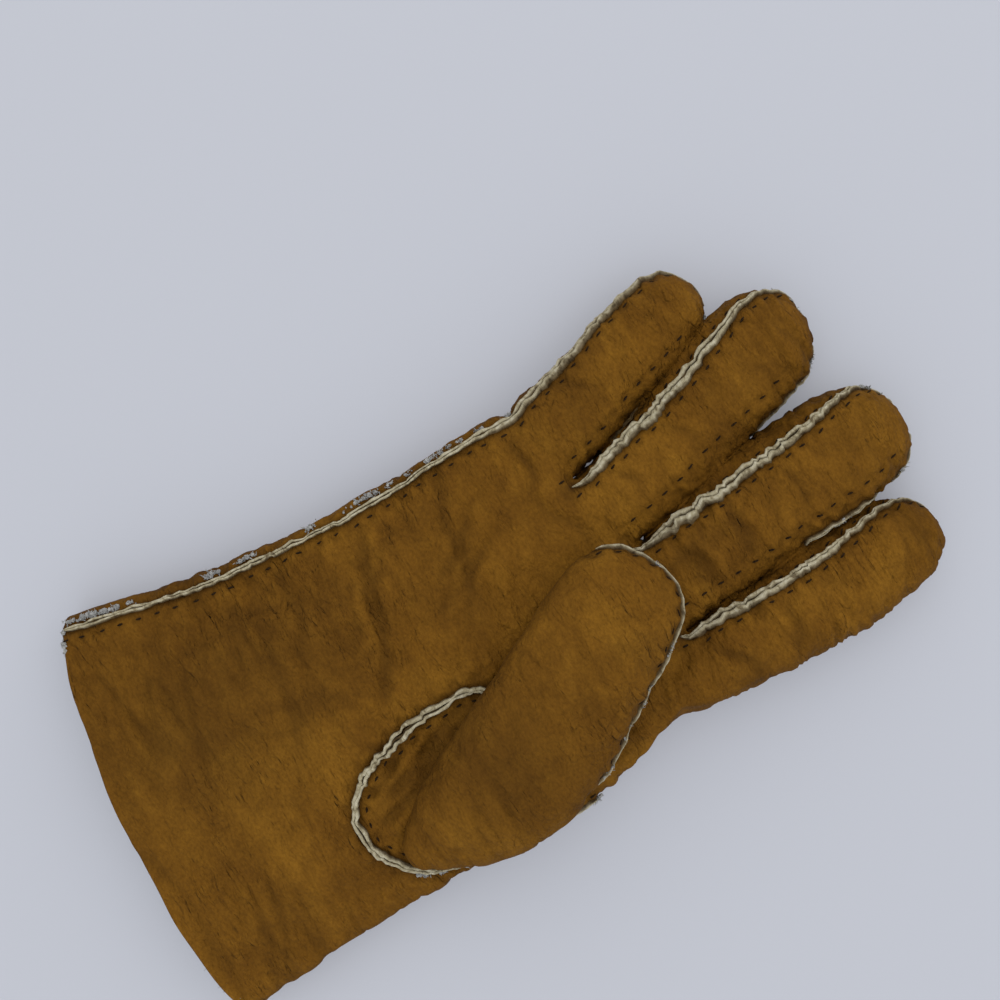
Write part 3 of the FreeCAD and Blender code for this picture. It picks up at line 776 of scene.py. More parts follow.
def suedeMaterial(name, deeper=1.0):
    tones = {k: tuple(c * deeper for c in suede[k]) for k in ("dark", "middle", "light")}
    material, tree, surface, place = nodesFor(name, suede["rough"],
                                              Specular_IOR_Level=0.07)
    blotch = noiseNode(tree, stretched(tree, place, (34, 26, 30)), 3, 0.55, 0.6)
    mottle = noiseNode(tree, stretched(tree, place, (9, 6, 8), 20), 5, 0.65, 0.8)
    pores = noiseNode(tree, stretched(tree, place, (1.1, 0.8, 1)), 3, 0.6)
    tone = ramp(tree, blotch, ((0.3, tones["dark"]), (0.5, tones["middle"]),
                               (0.72, tones["light"])))
    patch = ramp(tree, mottle, ((0.3, tones["dark"]), (0.52, tones["middle"]),
                                (0.75, tones["light"])))
    colour = mix(tree, tone, patch, 0.4)
    fine = creaseLines(tree, stretched(tree, place, (13, 4.6, 9), -28), 0.09)
    wide = creaseLines(tree, stretched(tree, place, (30, 11, 18), -20), 0.06)
    cross = creaseLines(tree, stretched(tree, place, (7, 11, 8), 25), 0.07)
    lines = mix(tree, mix(tree, fine, wide, 1, "MULTIPLY"), cross, 0.4, "MULTIPLY")
    where = ramp(tree, noiseNode(tree, stretched(tree, place, (30, 24, 30), 40), 2), (
        (0.36, (0.15, 0.15, 0.15)), (0.66, (0.9, 0.9, 0.9))))
    lines = mix(tree, (1, 1, 1), lines, where)
    # painted shade: the crease lines are painted darker
    colour = mix(tree, colour, mix(tree, suede["paintedCreaseShade"], (1.05, 1.05, 1.05), lines),
                 0.8, "MULTIPLY")
    speck = ramp(tree, pores, ((0.3, (0.72, 0.7, 0.66)), (0.62, (1.12, 1.12, 1.15))))
    colour = mix(tree, colour, speck, 0.75, "MULTIPLY")
    # painted shade: seams, stitches, folds, sides and broad patches painted darker from the seamShade
    # attribute
    colour = mix(tree, colour, suede["seamShade"], attribute(tree, "seamShade"))
    tree.links.new(colour, surface.inputs["Base Color"])
    grain = noiseNode(tree, stretched(tree, place, (0.9, 0.7, 0.9)), 3, 0.6)
    normal = bump(tree, grain, 0.4, 0.35)
    normal = bump(tree, lines, 0.8, suede["creaseDepth"], normal)
    crumple = noiseNode(tree, stretched(tree, place, (9, 5, 7), -28), 4, 0.6, 0.5)
    normal = bump(tree, crumple, 0.85, 2.8, normal)
    tree.links.new(normal, surface.inputs["Normal"])
    return material


def seamMaterial():
    # raw cut edge of the hide on top; the outer faces of the two leaves are suede, painted a darker brown
    # than the hide as painted shade
    material, tree, surface, place = nodesFor("rawSeamEdge", 0.85, Specular_IOR_Level=0.25)
    streak = noiseNode(tree, stretched(tree, place, (2.6, 2.2, 2.4)), 5, 0.7, 0.5)
    cream = ramp(tree, streak, ((0.34, (0.13, 0.095, 0.05)), (0.47, (0.33, 0.28, 0.175)),
                                (0.66, (0.5, 0.45, 0.33))))
    # painted shade: the dark brown of the leaves' flanks and of the floor between them
    side = ramp(tree, streak, ((0.35, (0.035, 0.018, 0.005)), (0.7, (0.15, 0.095, 0.035))))
    colour = mix(tree, side, cream, attribute(tree, "cutEdge"))
    tree.links.new(colour, surface.inputs["Base Color"])
    fibre = noiseNode(tree, stretched(tree, place, (0.6, 0.5, 0.6)), 3, 0.7)
    tree.links.new(bump(tree, fibre, 0.7, 0.4), surface.inputs["Normal"])
    return material


def woolMaterial():
    material, tree, surface, place = nodesFor("clippedWool", 0.95, Sheen_Weight=0.3,
                                              Specular_IOR_Level=0.2)
    clump = noiseNode(tree, stretched(tree, place, (3.5, 3.5, 3)), 5, 0.7, 1.0)
    colour = ramp(tree, clump, ((0.3, (0.24, 0.23, 0.215)), (0.5, (0.42, 0.41, 0.39)),
                                (0.72, (0.6, 0.59, 0.57))))
    tree.links.new(colour, surface.inputs["Base Color"])
    curl = noiseNode(tree, stretched(tree, place, (1.2, 1.2, 1.2)), 4, 0.7, 2.0)
    tree.links.new(bump(tree, curl, 1.0, 1.2), surface.inputs["Normal"])
    return material


def threadMaterial():
    material, tree, surface, place = nodesFor("waxedThread", 0.85, Specular_IOR_Level=0.1)
    twist = noiseNode(tree, stretched(tree, place, (0.5, 0.5, 0.5)), 2, 0.5)
    colour = ramp(tree, twist, ((0.35, (0.008, 0.004, 0.0015)), (0.65, (0.028, 0.014, 0.005))))
    tree.links.new(colour, surface.inputs["Base Color"])
    tree.links.new(bump(tree, twist, 0.6, 0.2), surface.inputs["Normal"])
    return material


palmSuede = suedeMaterial("ochreSuede")
seamEdge = seamMaterial()
wool = woolMaterial()
thread = threadMaterial()
print("materials made")

# the hide: hand and fingers in one, the thumb by itself
hide = joinForms("hide", [handForm()] + [fingerForm(fingerShapes[n]) for n in fingerNames])
inflate(hide, fingerSlim + skinWork["relaxed"])
thumb = joinForms("thumbHide", [thumbForm()])
inflate(thumb)
print("hide inflated:", len(hide.data.vertices), len(thumb.data.vertices))


def skinTree(piece):
    graph = bpy.context.evaluated_depsgraph_get()
    graph.update()
    return BVHTree.FromObject(piece, graph)


def fingerTrees():
    # one search tree for each finger with the hand behind it, so a seam stays on its finger
    points = coords(hide.data)
    owners = ownersOf(points)
    behind = points[:, 1] < at(0, 34).y
    corners = [tuple(p.vertices) for p in hide.data.polygons]
    spots = [Vector(p) for p in points]
    made = {}
    for k, name in enumerate(fingerNames):
        mine = (owners == k) | behind
        made[name] = BVHTree.FromPolygons(spots, [c for c in corners
                                                  if all(mine[v] for v in c)])
    return made


seamOwner = {"sideSeam": "little", "littleInner": "little", "ringOuter": "ring",
             "ringInner": "ring", "middleOuter": "middle", "middleInner": "middle",
             "indexOuter": "index"}
trees = fingerTrees()
palmSeams = {n: onSkin(trees[seamOwner[n]], smoothRun(run)) for n, run in seamRuns.items()}
backSeams = {n + "Back": onSkin(trees[seamOwner[n]], smoothRun(onTheBack(run)))
             for n, run in seamRuns.items() if n != "sideSeam"}
faceStitches = {n: onSkin(trees[seamOwner[n]], smoothRun(stitchLine(seamRuns[n])))
                for n in ("littleInner", "ringInner", "middleInner")}
hideTree = skinTree(hide)
holeSeam = onSkin(hideTree, smoothRun(thumbRuns["thumbHoleSeam"]))
backPoints = {n: onSkin(hideTree, smoothRun(run)) for n, run in pointRuns.items()}
thumbSeam = onSkin(skinTree(thumb), smoothRun(thumbRuns["thumbSeam"]))

folds = wrinkle(hide.data)
folds = np.maximum(folds, fingerFolds(hide.data))
hideShade = pressSeams(hide.data, list(palmSeams.values()) + list(backSeams.values())
                       + [holeSeam], folds, list(faceStitches.values()))
settle(hide.data)
thumbShade = pressSeams(thumb.data, [thumbSeam], wrinkle(thumb.data, 0.8, False))
for piece, shade in ((hide, hideShade), (thumb, thumbShade)):
    # painted shade of seams, stitches, folds and sides kept as the seamShade attribute
    layer = piece.data.attributes.new("seamShade", "FLOAT", "POINT")
    # the painted shade of the broad patches joins the painted shade of seams, folds and sides
    shade = 1 - (1 - shade) * (1 - paintedPatchShade(piece.data))
    layer.data.foreach_set("value", shade.astype(np.float32))
    piece.data.materials.clear()
    piece.data.materials.append(palmSuede)
    piece.data.shade_smooth()
print("seams pressed in")

# the cuff opening
cuff = {"centre": (20.9, 164.2), "radius": 300, "hide": 1.5, "lip": 7, "wave": 0.9}


def cuffLine(x):
    # how far down the cuff edge is at a place across the hand, in metres
    centre = at(*cuff["centre"])
    radius = cuff["radius"] * mm
    wave = cuff["wave"] * mm * noise.noise(Vector((x * 50, 3.1, 0)))
    return centre.y - math.sqrt(radius ** 2 - (x - centre.x) ** 2) + wave


def openCuff(piece):
    # cut the closed form along the arc of the cuff and turn the edge inwards
    bm = bmesh.new()
    bm.from_mesh(piece.data)
    for v in bm.verts:
        v.co.y -= cuffLine(v.co.x)
    bmesh.ops.bisect_plane(bm, geom=bm.verts[:] + bm.edges[:] + bm.faces[:], dist=1e-7,
                           plane_co=(0, 0, 0), plane_no=(0, 1, 0), clear_inner=True)
    for v in bm.verts:
        v.co.y += cuffLine(v.co.x)
    bm.normal_update()
    rim = [e for e in bm.edges if e.is_boundary]
    for inset, deep in ((0.25, 0.3), (cuff["hide"] - 0.25, 0), (0, -cuff["lip"])):
        out = bmesh.ops.extrude_edge_only(bm, edges=rim)["geom"]
        rim = [g for g in out if isinstance(g, bmesh.types.BMEdge)
               and all(len(v.link_edges) for v in g.verts) and g.is_boundary]
        fresh = {v for e in rim for v in e.verts}
        middleZ = sum(v.co.z for v in fresh) / len(fresh)
        for v in fresh:
            inward = Vector((0, 0, middleZ - v.co.z))
            sideways = Vector((-v.co.x, 0, 0))
            flat = min(1, abs(inward.z) / (0.009))
            way = (inward.normalized() * flat + sideways.normalized() * (1 - flat)).normalized()
            v.co += way * (inset * mm) + Vector((0, -deep * mm, 0))
    bmesh.ops.recalc_face_normals(bm, faces=bm.faces[:])
    bm.to_mesh(piece.data)
    bm.free()


openCuff(hide)
hide.data.shade_smooth()
print("cuff opened")

# seams stand up from the hide as two raw leaves, with stitches beside them
seamShape = {"leaf": 1.3, "gap": 0.3, "high": 2.5, "sunk": 1.6, "slowWave": 0.81,
             "quickWave": 0.405, "uneven": 0.6, "ragged": 0.4, "step": 2, "cutBand": 0.9}
stitchShape = {"long": 2.5, "wide": 0.75, "high": 0.4, "away": 3.3}


def sweep(spots, profile, seed):
    # draw a closed profile along the spots; profile rows are across, up, cut-edge value
    bm = bmesh.new()
    cut = bm.verts.layers.float.new("cutEdge")
    chosen = spots[::seamShape["step"]]
    if len(chosen) < 3:
        bm.free()
        return None
    if chosen[-1] is not spots[-1]:
        chosen.append(spots[-1])

    def place(spot, row):
        across, up = row[:2]
        far = spot["far"] * 1000
        size = spot["size"]
        sway = noise.noise(Vector((far * 0.11, seed, 0))) * seamShape["slowWave"]
        sway += noise.noise(Vector((far * 0.33, seed, 4))) * seamShape["quickWave"]
        thick = 1 + noise.noise(Vector((far * 0.27, seed + across * 0.3, 9))) * seamShape["uneven"]
        lift = 1 + noise.noise(Vector((far * 0.3, seed, 15))) * seamShape["ragged"]
        return (spot["spot"] + spot["side"] * ((across * thick + sway) * size * mm)
                + spot["up"] * ((up * lift * size if up > 0 else up) * mm))

    first = [bm.verts.new(place(chosen[0], row)) for row in profile]
    ring = [bm.edges.new((a, b)) for a, b in zip(first, first[1:] + first[:1])]
    for v, row in zip(first, profile):
        v[cut] = row[2]
    bmesh.ops.contextual_create(bm, geom=ring)
    for spot in chosen[1:]:
        fresh, ring = drawOut(bm, ring)
        for v, row in zip(fresh, profile):
            v.co = place(spot, row)
            v[cut] = row[2]
    bmesh.ops.contextual_create(bm, geom=ring)
    bmesh.ops.recalc_face_normals(bm, faces=bm.faces[:])
    return bm


def leafProfile(side):
    # one leaf: from its foot in the hide up to its raw edge and down again
    near = seamShape["gap"] / 2
    far = near + seamShape["leaf"]
    high = seamShape["high"]
    cut = seamShape["cutBand"]
    rows = ((near, -seamShape["sunk"], 0), (near, high - cut, 0.2), (near + 0.18, high, 1),
            ((near + far) / 2, high + 0.15, 1), (far - 0.18, high, 1),
            (far, high - cut, 0.35), (far + 0.05, 0.4, 0), (far, -seamShape["sunk"], 0))
    return [(across * side, up, value) for across, up, value in rows]


def seamBridge():
    # the floor between the two leaves, painted as dark as the leaves' flanks: painted shade in the gap
    half = seamShape["gap"] / 2 + 0.2
    high = seamShape["high"] * 0.6
    return [(-half, -seamShape["sunk"], 0), (-half, high, 0), (half, high, 0),
            (half, -seamShape["sunk"], 0)]


def gather(name, parts, material):
    # several meshes made into one piece
    whole = mergeForms([bm for bm in parts if bm is not None])
    for v in whole.verts:
        v.co.z = max(v.co.z, 0.1 * mm)  # nothing under the table top
    return newPiece(name, whole, material)


def seamLeaves(spots, seed):
    leaves = [sweep(spots, leafProfile(side), seed + side * 4.7) for side in (-1, 1)]
    return leaves + [sweep(spots, seamBridge(), seed)]


bothSides = (-stitchShape["away"], stitchShape["away"])
stitchSides = {"sideSeam": bothSides[1:], "thumbHoleSeam": bothSides[:1]}


def stitchesAlong(tree, spots, away=bothSides):
    # one flattened bead of thread every stitch, beside the seam or along its own row
    made = []
    start = math.ceil(spots[0]["far"] / stitchPitch) * stitchPitch
    places = []
    k = 0
    far = start
    while far < spots[-1]["far"] - 0.5 * mm:
        while k < len(spots) - 1 and spots[k]["far"] < far:
            k += 1
        places.append(spots[k])
        far += stitchPitch
    for spot in places:
        for side in away:
            aim = spot["spot"] + spot["side"] * (side * mm)
            where, normal, index, gap = tree.find_nearest(aim)
            along = (spot["along"] - normal * spot["along"].dot(normal)).normalized()
            across = normal.cross(along)
            turn = Matrix((along, across, normal)).transposed().to_4x4()
            size = Matrix.Diagonal((stitchShape["long"] / 2 * mm, stitchShape["wide"] / 2 * mm,
                                    stitchShape["high"] * mm, 1))
            bm = bmesh.new()
            bmesh.ops.create_uvsphere(bm, u_segments=6, v_segments=4, radius=1,
                                      matrix=Matrix.Translation(where) @ turn @ size)
            made.append(bm)
    return made


def keepNormals(mesh):
    layer = mesh.attributes.new("wholeNormal", "FLOAT_VECTOR", "POINT")
    layer.data.foreach_set("vector", coords(mesh, "normal").astype(np.float32).reshape(-1))


def useNormals(mesh):
    # shading stays even across the lines where the hide is parted
    data = np.empty(len(mesh.vertices) * 3, np.float32)
    mesh.attributes["wholeNormal"].data.foreach_get("vector", data)
    data = data.reshape(-1, 3)
    data /= np.maximum(np.linalg.norm(data, axis=1, keepdims=True), 1e-9)
    mesh.normals_split_custom_set_from_vertices(data.tolist())
    mesh.attributes.remove(mesh.attributes["wholeNormal"])


def copyFaces(source, name, keep):
    # a copy of a piece with only the faces that are to be kept
    piece = addObject(name, source.data.copy())
    bm = bmesh.new()
    bm.from_mesh(piece.data)
    bmesh.ops.delete(bm, geom=[f for f in bm.faces if not keep(f)], context="FACES")
    bm.to_mesh(piece.data)
    bm.free()
    useNormals(piece.data)
    return piece


def partHide():
    # cut the hide across each finger and share its faces out to nine pieces
    keepNormals(hide.data)
    bm = bmesh.new()
    bm.from_mesh(hide.data)
    owner = bm.faces.layers.int.new("owner")
    bm.faces.index_update()
    owners = [int(k) for k in ownersOf(np.array([f.calc_center_median() for f in bm.faces]))]
    rootLine = at(0, 28).y
    for f in bm.faces:
        centre = f.calc_center_median()
        f[owner] = 1 + owners[f.index] if centre.y > rootLine else 0
    for k, name in enumerate(fingerNames):
        p = fingerPlaces(name)
        for far in (p["root"], p["part"]):
            faces = [f for f in bm.faces if f[owner] == k + 1]
            edges = {e for f in faces for e in f.edges}
            verts = {v for f in faces for v in f.verts}
            bmesh.ops.bisect_plane(bm, geom=list(verts) + list(edges) + faces, dist=1e-6,
                                   plane_co=p["from"] + p["forward"] * far,
                                   plane_no=p["forward"])
    groups = {}
    for f in bm.faces:
        label = ("hand", "")
        if f[owner]:
            name = fingerNames[f[owner] - 1]
            part = partOf(f.calc_center_median(), name)
            label = (part, name) if part != "hand" else label
        groups.setdefault(label, set()).add(f.index)
    bm.to_mesh(hide.data)
    bm.free()
    made = {}
    for (part, name), kept in groups.items():
        stem = name + part.title() if name else "palmAndBack"
        made[(part, name)] = copyFaces(hide, stem + "Hide", lambda f, kept=kept: f.index in kept)
    bpy.data.objects.remove(hide)
    return made


finalTree = skinTree(hide)
trees = fingerTrees()
thumbTree = skinTree(thumb)


def reseat(spots, tree):
    # set the seam's foot on the pressed hide
    for s in spots:
        where, normal, index, gap = tree.find_nearest(s["spot"])
        s["spot"] = where + s["up"] * (0.2 * mm)
    return spots


seamPieces = {}
for label, spots in [*palmSeams.items(), *backSeams.items()]:
    name = seamOwner[label.replace("Back", "")]
    reseat(spots, trees[name])
    for part in ("hand", "lower", "upper"):
        where = [k for k, s in enumerate(spots) if partOf(s["spot"], name) == part]
        if len(where) < 3:
            continue
        stretch = spots[max(0, where[0] - 1):where[-1] + 1]
        key = (part, name if part != "hand" else "")
        seams, threads = seamPieces.setdefault(key, ([], []))
        seams += seamLeaves(stretch, len(label) * 3.7)
        if label not in faceStitches:
            threads += stitchesAlong(trees[name], stretch, stitchSides.get(label, bothSides))
for label, spots in faceStitches.items():
    name = seamOwner[label]
    for part in ("hand", "lower", "upper"):
        stretch = [s for s in spots if partOf(s["spot"], name) == part]
        if len(stretch) > 3:
            key = (part, name if part != "hand" else "")
            seamPieces[key][1].extend(stitchesAlong(trees[name], stretch, (0,)))
for label, spots in backPoints.items():
    reseat(spots, finalTree)
    seams, threads = seamPieces[("hand", "")]
    seams += seamLeaves(spots, len(label) * 2.3)
    threads += stitchesAlong(finalTree, spots)
reseat(holeSeam, finalTree)
seamPieces[("hand", "")][0].extend(seamLeaves(holeSeam, 31.0))
seamPieces[("hand", "")][1].extend(stitchesAlong(
    finalTree, holeSeam, stitchSides["thumbHoleSeam"]))

hidePieces = partHide()
for (part, name), piece in hidePieces.items():
    if part == "hand":
        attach(piece, "hand")
    else:
        bendPiece(piece, part)
for (part, name), (seams, threads) in seamPieces.items():
    stem = name + part.title() if name else "handSide"
    raised = gather(stem + "Seams", seams, seamEdge)
    sewn = gather(stem + "Stitches", threads, thread)
    for piece, slot in ((raised, "turned_out_seam"), (sewn, "sewing_thread")):
        if part == "hand":
            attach(piece, "hand")
        else:
            bendPiece(piece, part)
print("hide parted, seams sewn:", len(hidePieces), len(seamPieces))

# the thumb: parted into its base and its front a little behind the lift joint
lift = joints["thumb_lift"]
liftPlace = Vector(lift["pos_m"])
liftAcross = Vector(lift["axis"])
liftForward = Vector((-liftAcross.y, liftAcross.x, 0))
thumbWork = {"behind": 14, "ahead": 12, "turnFrom": 24, "turnTo": 3}
thumbCut = liftPlace - liftForward * (thumbWork["behind"] * mm)


def partThumb():
    keepNormals(thumb.data)
    bm = bmesh.new()
    bm.from_mesh(thumb.data)
    bmesh.ops.bisect_plane(bm, geom=bm.verts[:] + bm.edges[:] + bm.faces[:], dist=1e-6,
                           plane_co=thumbCut, plane_no=liftForward)
    bm.to_mesh(thumb.data)
    bm.free()

    def inFront(f):
        return (f.calc_center_median() - thumbCut).dot(liftForward) > 0

    made = [copyFaces(thumb, "thumbBaseHidePiece", lambda f: not inFront(f)),
            copyFaces(thumb, "thumbHidePiece", inFront)]
    bpy.data.objects.remove(thumb)
    return made


def liftPiece(piece):
    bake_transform(piece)


def turnPiece(piece):
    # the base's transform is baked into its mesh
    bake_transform(piece)


reseat(thumbSeam, thumbTree)
frontSpots = [s for s in thumbSeam if (s["spot"] - thumbCut).dot(liftForward) > 0]
thumbSewn = [gather("thumbSeams", seamLeaves(frontSpots, 12.0), seamEdge),
             gather("thumbStitches", stitchesAlong(thumbTree, frontSpots), thread)]
thumbBase, thumbFront = partThumb()
turnPiece(thumbBase)
for piece in (thumbFront, *thumbSewn):
    liftPiece(piece)
print("thumb parted")

# wool lining, seen through the cuff and as tufts at the seams
lining = {"cornerClumps": 12, "inset": 2.6, "woolThick": 5.2, "proud": -0.4, "fluff": 0.7}
wisps = {
    # run: share of its length where wool pokes out, wisps, curls in each, way to the side
    "sideSeam": (0.01, 0.66, 40, 12, -2.7), "thumbHoleSeam": (0.6, 1, 20, 12, 1.8),
    "thumbSeam": (0.1, 0.98, 12, 8, 0), "middleOuter": (0.8, 1, 4, 9, 0),
    "ringOuter": (0.8, 1, 4, 9, 0), "littleInner": (0.7, 1, 4, 9, 0),
    "middleInner": (0.3, 0.9, 6, 8, 0), "ringInner": (0.5, 0.95, 5, 8, 0),
}


def liningForm():
    # a sock: from behind the hide's edge over the wool's own edge and down to the fingers
    bm = bmesh.new()
    sides = 120
    bmesh.ops.create_circle(bm, segments=sides, radius=mm)
    ring = list(bm.verts)
    angles = [math.atan2(v.co.y, v.co.x) for v in ring]
    rows = [(lining["inset"], 14), (lining["inset"], 3), (lining["inset"] + 0.3, -0.4),
            (lining["inset"] + 1.4, -lining["proud"]),
            (lining["inset"] + 2.8, -lining["proud"] * 1.1),
            (lining["inset"] + 4.2, -0.3), (lining["inset"] + lining["woolThick"], 2.6)]
    rows += [(lining["inset"] + lining["woolThick"] + 0.3, d) for d in range(5, 118, 3)]
    rows += [(lining["inset"] + 8, 120), (lining["inset"] + 10.5, 121)]

    def place(angle, row):
        inset, up = row
        y = -130 + up
        sections = handShape["sections"]
        for a, b in zip(sections, sections[1:]):
            if a[0] <= y <= b[0]:
                break
        t = (y - a[0]) / (b[0] - a[0])
        left, right, high = (a[k] + (b[k] - a[k]) * t for k in (1, 2, 3))
        station = {"x": (left + right) / 2, "y": 0, "half": (right - left) / 2 - inset,
                   "low": inset, "high": high - inset, "power": handShape["power"],
                   "forward": Vector((0, 1, 0))}
        spot = ringPoint(angle, station)
        spot.y = cuffLine(spot.x) + up * mm
        return spot

    edges = list(bm.edges)
    for v, a in zip(ring, angles):
        v.co = place(a, rows[0])
    for row in rows[1:]:
        fresh, edges = drawOut(bm, edges)
        for v, a in zip(fresh, angles):
            v.co = place(a, row)
    bmesh.ops.contextual_create(bm, geom=edges)
    bmesh.ops.recalc_face_normals(bm, faces=bm.faces[:])
    bmesh.ops.reverse_faces(bm, faces=bm.faces[:])
    bmesh.ops.subdivide_edges(bm, edges=bm.edges[:], cuts=1, use_grid_fill=True)
    bm.normal_update()
    for v in bm.verts:
        p = v.co * 1000
        lump = noise.fractal(p * 0.45, 0.8, 2.0, 3)
        v.co += v.normal * (lump * lining["fluff"] * mm)
    return bm


lock = {"thick": 0.3, "steps": 4, "bend": 0.45, "taper": 0.72}
clump = {"uneven": 0.55, "fine": 1400, "flat": 0.35}


def curl(root, out, size):
    # a short tapering curled lock
    bm = bmesh.new()
    bmesh.ops.create_circle(bm, cap_ends=True, segments=4, radius=lock["thick"] * mm,
                            matrix=Matrix.Translation(root)
                            @ out.to_track_quat("Z", "Y").to_matrix().to_4x4())
    edges = list(bm.edges)
    bend = Vector((random.uniform(-1, 1), random.uniform(-1, 1), random.uniform(-0.6, 0.8)))
    way = out.normalized()
    spot = root.copy()
    for k in range(lock["steps"]):
        fresh, edges = drawOut(bm, edges)
        way = (way + bend * lock["bend"]).normalized()
        step = way * (size * mm / lock["steps"])
        spot += step
        for v in fresh:
            v.co = spot + (v.co + step - spot) * lock["taper"]
    bmesh.ops.contextual_create(bm, geom=edges)
    return bm


def woolClump(place, up, size):
    # a small fuzzy lump of fleece
    bm = bmesh.new()
    bmesh.ops.create_icosphere(bm, subdivisions=3, radius=size * mm,
                               matrix=Matrix.Translation(place))
    bm.normal_update()
    for v in bm.verts:
        off = v.co - place
        rough = noise.fractal(v.co * clump["fine"], 0.7, 2.2, 3)
        v.co += off * (clump["uneven"] * rough) - up * (off.dot(up) * clump["flat"])
    return bm


def wispsAlong(tree, spots, first, last, count, curls, aside):
    # little locks of wool that the needle has pulled out between the two leaves
    made = []
    for n in range(count):
        share = random.uniform(first, last)
        spot = spots[min(len(spots) - 1, int(share * len(spots)))]
        middle = spot["spot"] + spot["up"] * (1.2 * mm * spot["size"])
        if aside:
            beyond = spot["spot"] + spot["side"] * (aside * mm)
            middle = tree.find_nearest(beyond)[0] + spot["up"] * (0.3 * mm)
        strength = random.uniform(0.4, 1)
        for k in range(2):
            beside = middle + spot["along"] * (random.gauss(0, 0.9) * mm)
            made.append(woolClump(beside, spot["up"], random.uniform(0.6, 1.1) * strength))
        for k in range(int(curls * strength)):
            jitter = Vector([random.gauss(0, 1) for axis in range(3)])
            root = middle + (spot["along"] * jitter.x + spot["side"] * jitter.y * 0.5) * mm
            out = (spot["up"] + spot["side"] * jitter.z * 0.8 + jitter * 0.4).normalized()
            made.append(curl(root, out, random.uniform(0.8, 1.8) * strength))
    return made


def cuffCurls():
    made = []
    for k in range(900):
        angle = random.uniform(0, 2 * math.pi)
        x = -2.5 + 66 * math.copysign(abs(math.cos(angle)) ** 0.6, math.cos(angle))
        z = 11.5 + 7.6 * math.copysign(abs(math.sin(angle)) ** 0.6, math.sin(angle))
        spot = at(x, 0, z)
        spot.y = cuffLine(spot.x) + random.uniform(0.6, 3.0) * mm
        out = Vector((random.gauss(0, 0.5), -1, random.gauss(0, 0.5))).normalized()
        made.append(curl(spot, out, random.uniform(1.2, 2.6)))
    for k in range(lining["cornerClumps"]):
        # wool that has worked out past the hide at the little finger's corner
        spot = at(random.uniform(-70, -56), 0, random.uniform(16, 19))
        spot.y = cuffLine(spot.x) - random.uniform(-0.4, 0.5) * mm
        made.append(woolClump(spot, Vector((0, -1, 0)), random.uniform(0.9, 1.5)))
    return made


sock = newPiece("woolLining", liningForm(), wool)
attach(sock, "hand")
curls = gather("cuffCurls", cuffCurls(), wool)
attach(curls, "hand")
groups = {}
for label, spec in wisps.items():
    if label == "thumbSeam":
        groups.setdefault("thumb", []).extend(wispsAlong(thumbTree, frontSpots, *spec))
        continue
    spots = holeSeam if label == "thumbHoleSeam" else palmSeams[label]
    name = "" if label == "thumbHoleSeam" else seamOwner[label]
    for part in ("hand", "lower", "upper"):
        stretch = [s for s in spots if (partOf(s["spot"], name) if name else "hand") == part]
        share = len(stretch) / len(spots)
        first, last, count, curlsEach, aside = spec
        if len(stretch) < 8:
            continue
        begin = spots.index(stretch[0]) / len(spots)
        low = max(0, (first - begin) / share)
        high = min(1, (last - begin) / share)
        if high > low:
            groups.setdefault((part, name if part != "hand" else ""), []).extend(wispsAlong(
                finalTree, stretch, low, high, max(2, round(count * share * (high - low) / (last - first))),
                curlsEach, aside))
for key, locks in groups.items():
    stem = "thumb" if key == "thumb" else (key[1] + key[0].title() if key[1] else "handSide")
    tuftPiece = gather(stem + "Wisps", locks, wool)
    if key == "thumb":
        liftPiece(tuftPiece)
    elif key[0] == "hand":
        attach(tuftPiece, "hand")
    else:
        bendPiece(tuftPiece, key[0])
print("wool made")
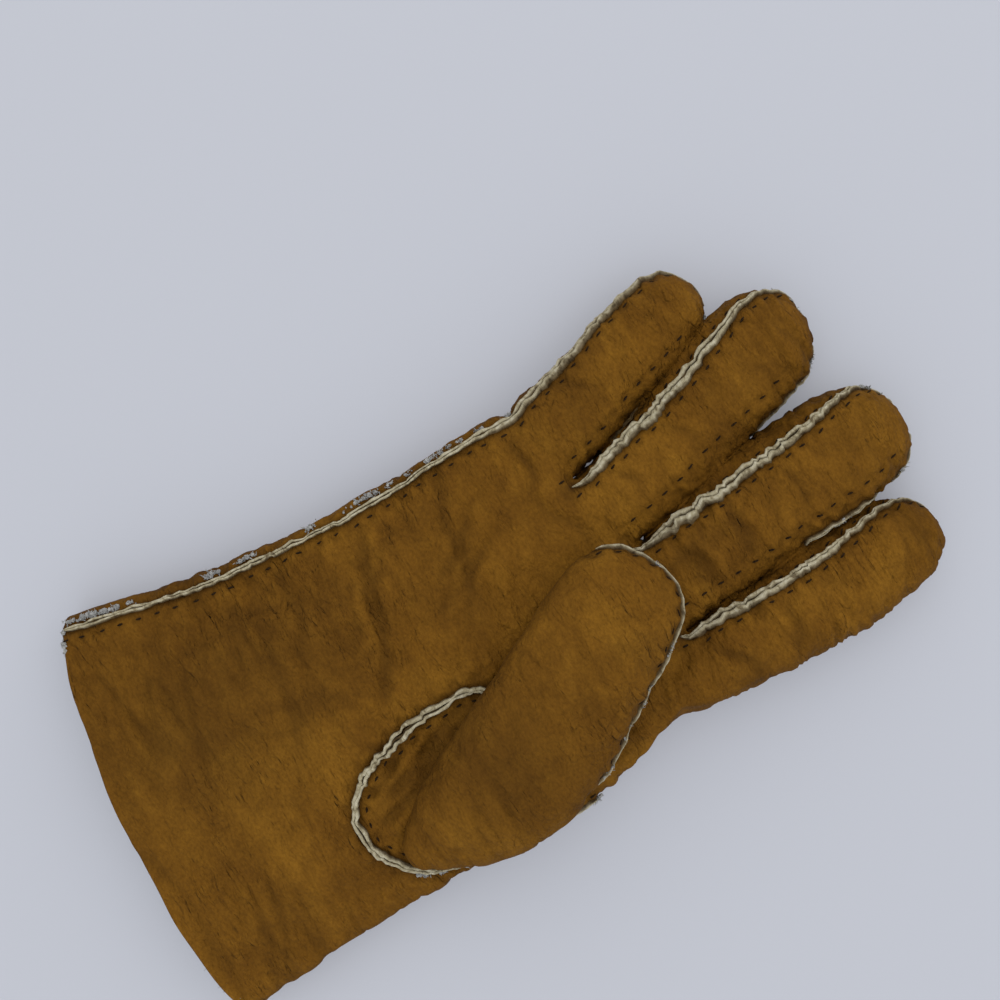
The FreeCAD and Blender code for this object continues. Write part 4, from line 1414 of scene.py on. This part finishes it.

# the CAD nodes that the pieces stand in for, hidden
for name in fingerNames:
    for part in ("lower", "upper"):
        stem = f"{name}_{part}_"
        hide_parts(stem + "trank", stem + "fourchettes",
                    stem + "fleece")
        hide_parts(stem + "seams")
        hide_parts(stem + "threads")
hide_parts("palm_and_back_leather", "fourchette_forks",
            "thumb_gusset")
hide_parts("hand_fleece")
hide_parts("finger_root_seams", "side_seam",
            "thumb_hole_seam", "back_points")
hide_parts("finger_root_threads", "side_seam_thread",
            "thumb_hole_thread", "back_point_threads")
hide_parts("thumb_heel_leather", "thumb_heel_fleece", "thumb_neck")
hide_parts("thumb_leather", "thumb_fleece")
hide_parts("thumb_seam")
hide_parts("thumb_thread")

# floor, light and camera
studio = {"floor": (0.352, 0.358, 0.394), "floorGlow": 0.42, "world": (0.93, 0.97, 1.0),
          "worldStrength": 0.85, "key": 9.0, "keySize": 2.2}


def makeFloor():
    bm = bmesh.new()
    bmesh.ops.create_grid(bm, x_segments=1, y_segments=1, size=3)
    material, _, surface, _ = nodesFor("paleFloor", 0.9)
    surface.inputs["Base Color"].default_value = (*studio["floor"], 1)
    surface.inputs["Emission Color"].default_value = (*studio["floor"], 1)
    surface.inputs["Emission Strength"].default_value = studio["floorGlow"]
    floor = newPiece("floor", bm, material, False)
    floor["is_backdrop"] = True


def areaLight(name, place, aim, power, size, colour):
    lamp = bpy.data.lights.new(name, "AREA")
    lamp.energy = power
    lamp.size = size
    lamp.color = colour
    holder = addObject(name, lamp)
    holder.location = place
    holder.rotation_euler = (aim - place).to_track_quat("-Z", "Y").to_euler()


makeFloor()
view = {"centre": (-34.9, 15.0), "width": 312, "lens": 50, "turn": 60}
centre = at(*view["centre"], 14)
areaLight("softKey", centre + Vector((-0.5, 0.55, 1.1)), centre, studio["key"], studio["keySize"],
          (1, 0.98, 0.95))
areaLight("softFill", centre + Vector((0.8, -0.5, 1.0)), centre, studio["key"] * 0.55,
          studio["keySize"], (0.93, 0.96, 1))
world = bpy.data.worlds.new("studio")
world.use_nodes = True
backdrop = world.node_tree.nodes["Background"]
backdrop.inputs["Color"].default_value = (*studio["world"], 1)
backdrop.inputs["Strength"].default_value = studio["worldStrength"]
bpy.context.scene.world = world
bpy.context.scene.view_settings.view_transform = "Standard"

camera = bpy.data.cameras.new("camera")
camera.lens = view["lens"]
camera.sensor_width = 36
camera.clip_start = 0.01
holder = addObject("camera", camera)
above = view["width"] * mm * view["lens"] / camera.sensor_width
holder.location = centre + Vector((0, 0, above))
holder.rotation_euler = (0, 0, math.radians(view["turn"]))
bpy.context.scene.camera = holder

low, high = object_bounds()
print("size against the frame:", [round(x * 1000, 1) for x in (*low, *high)])
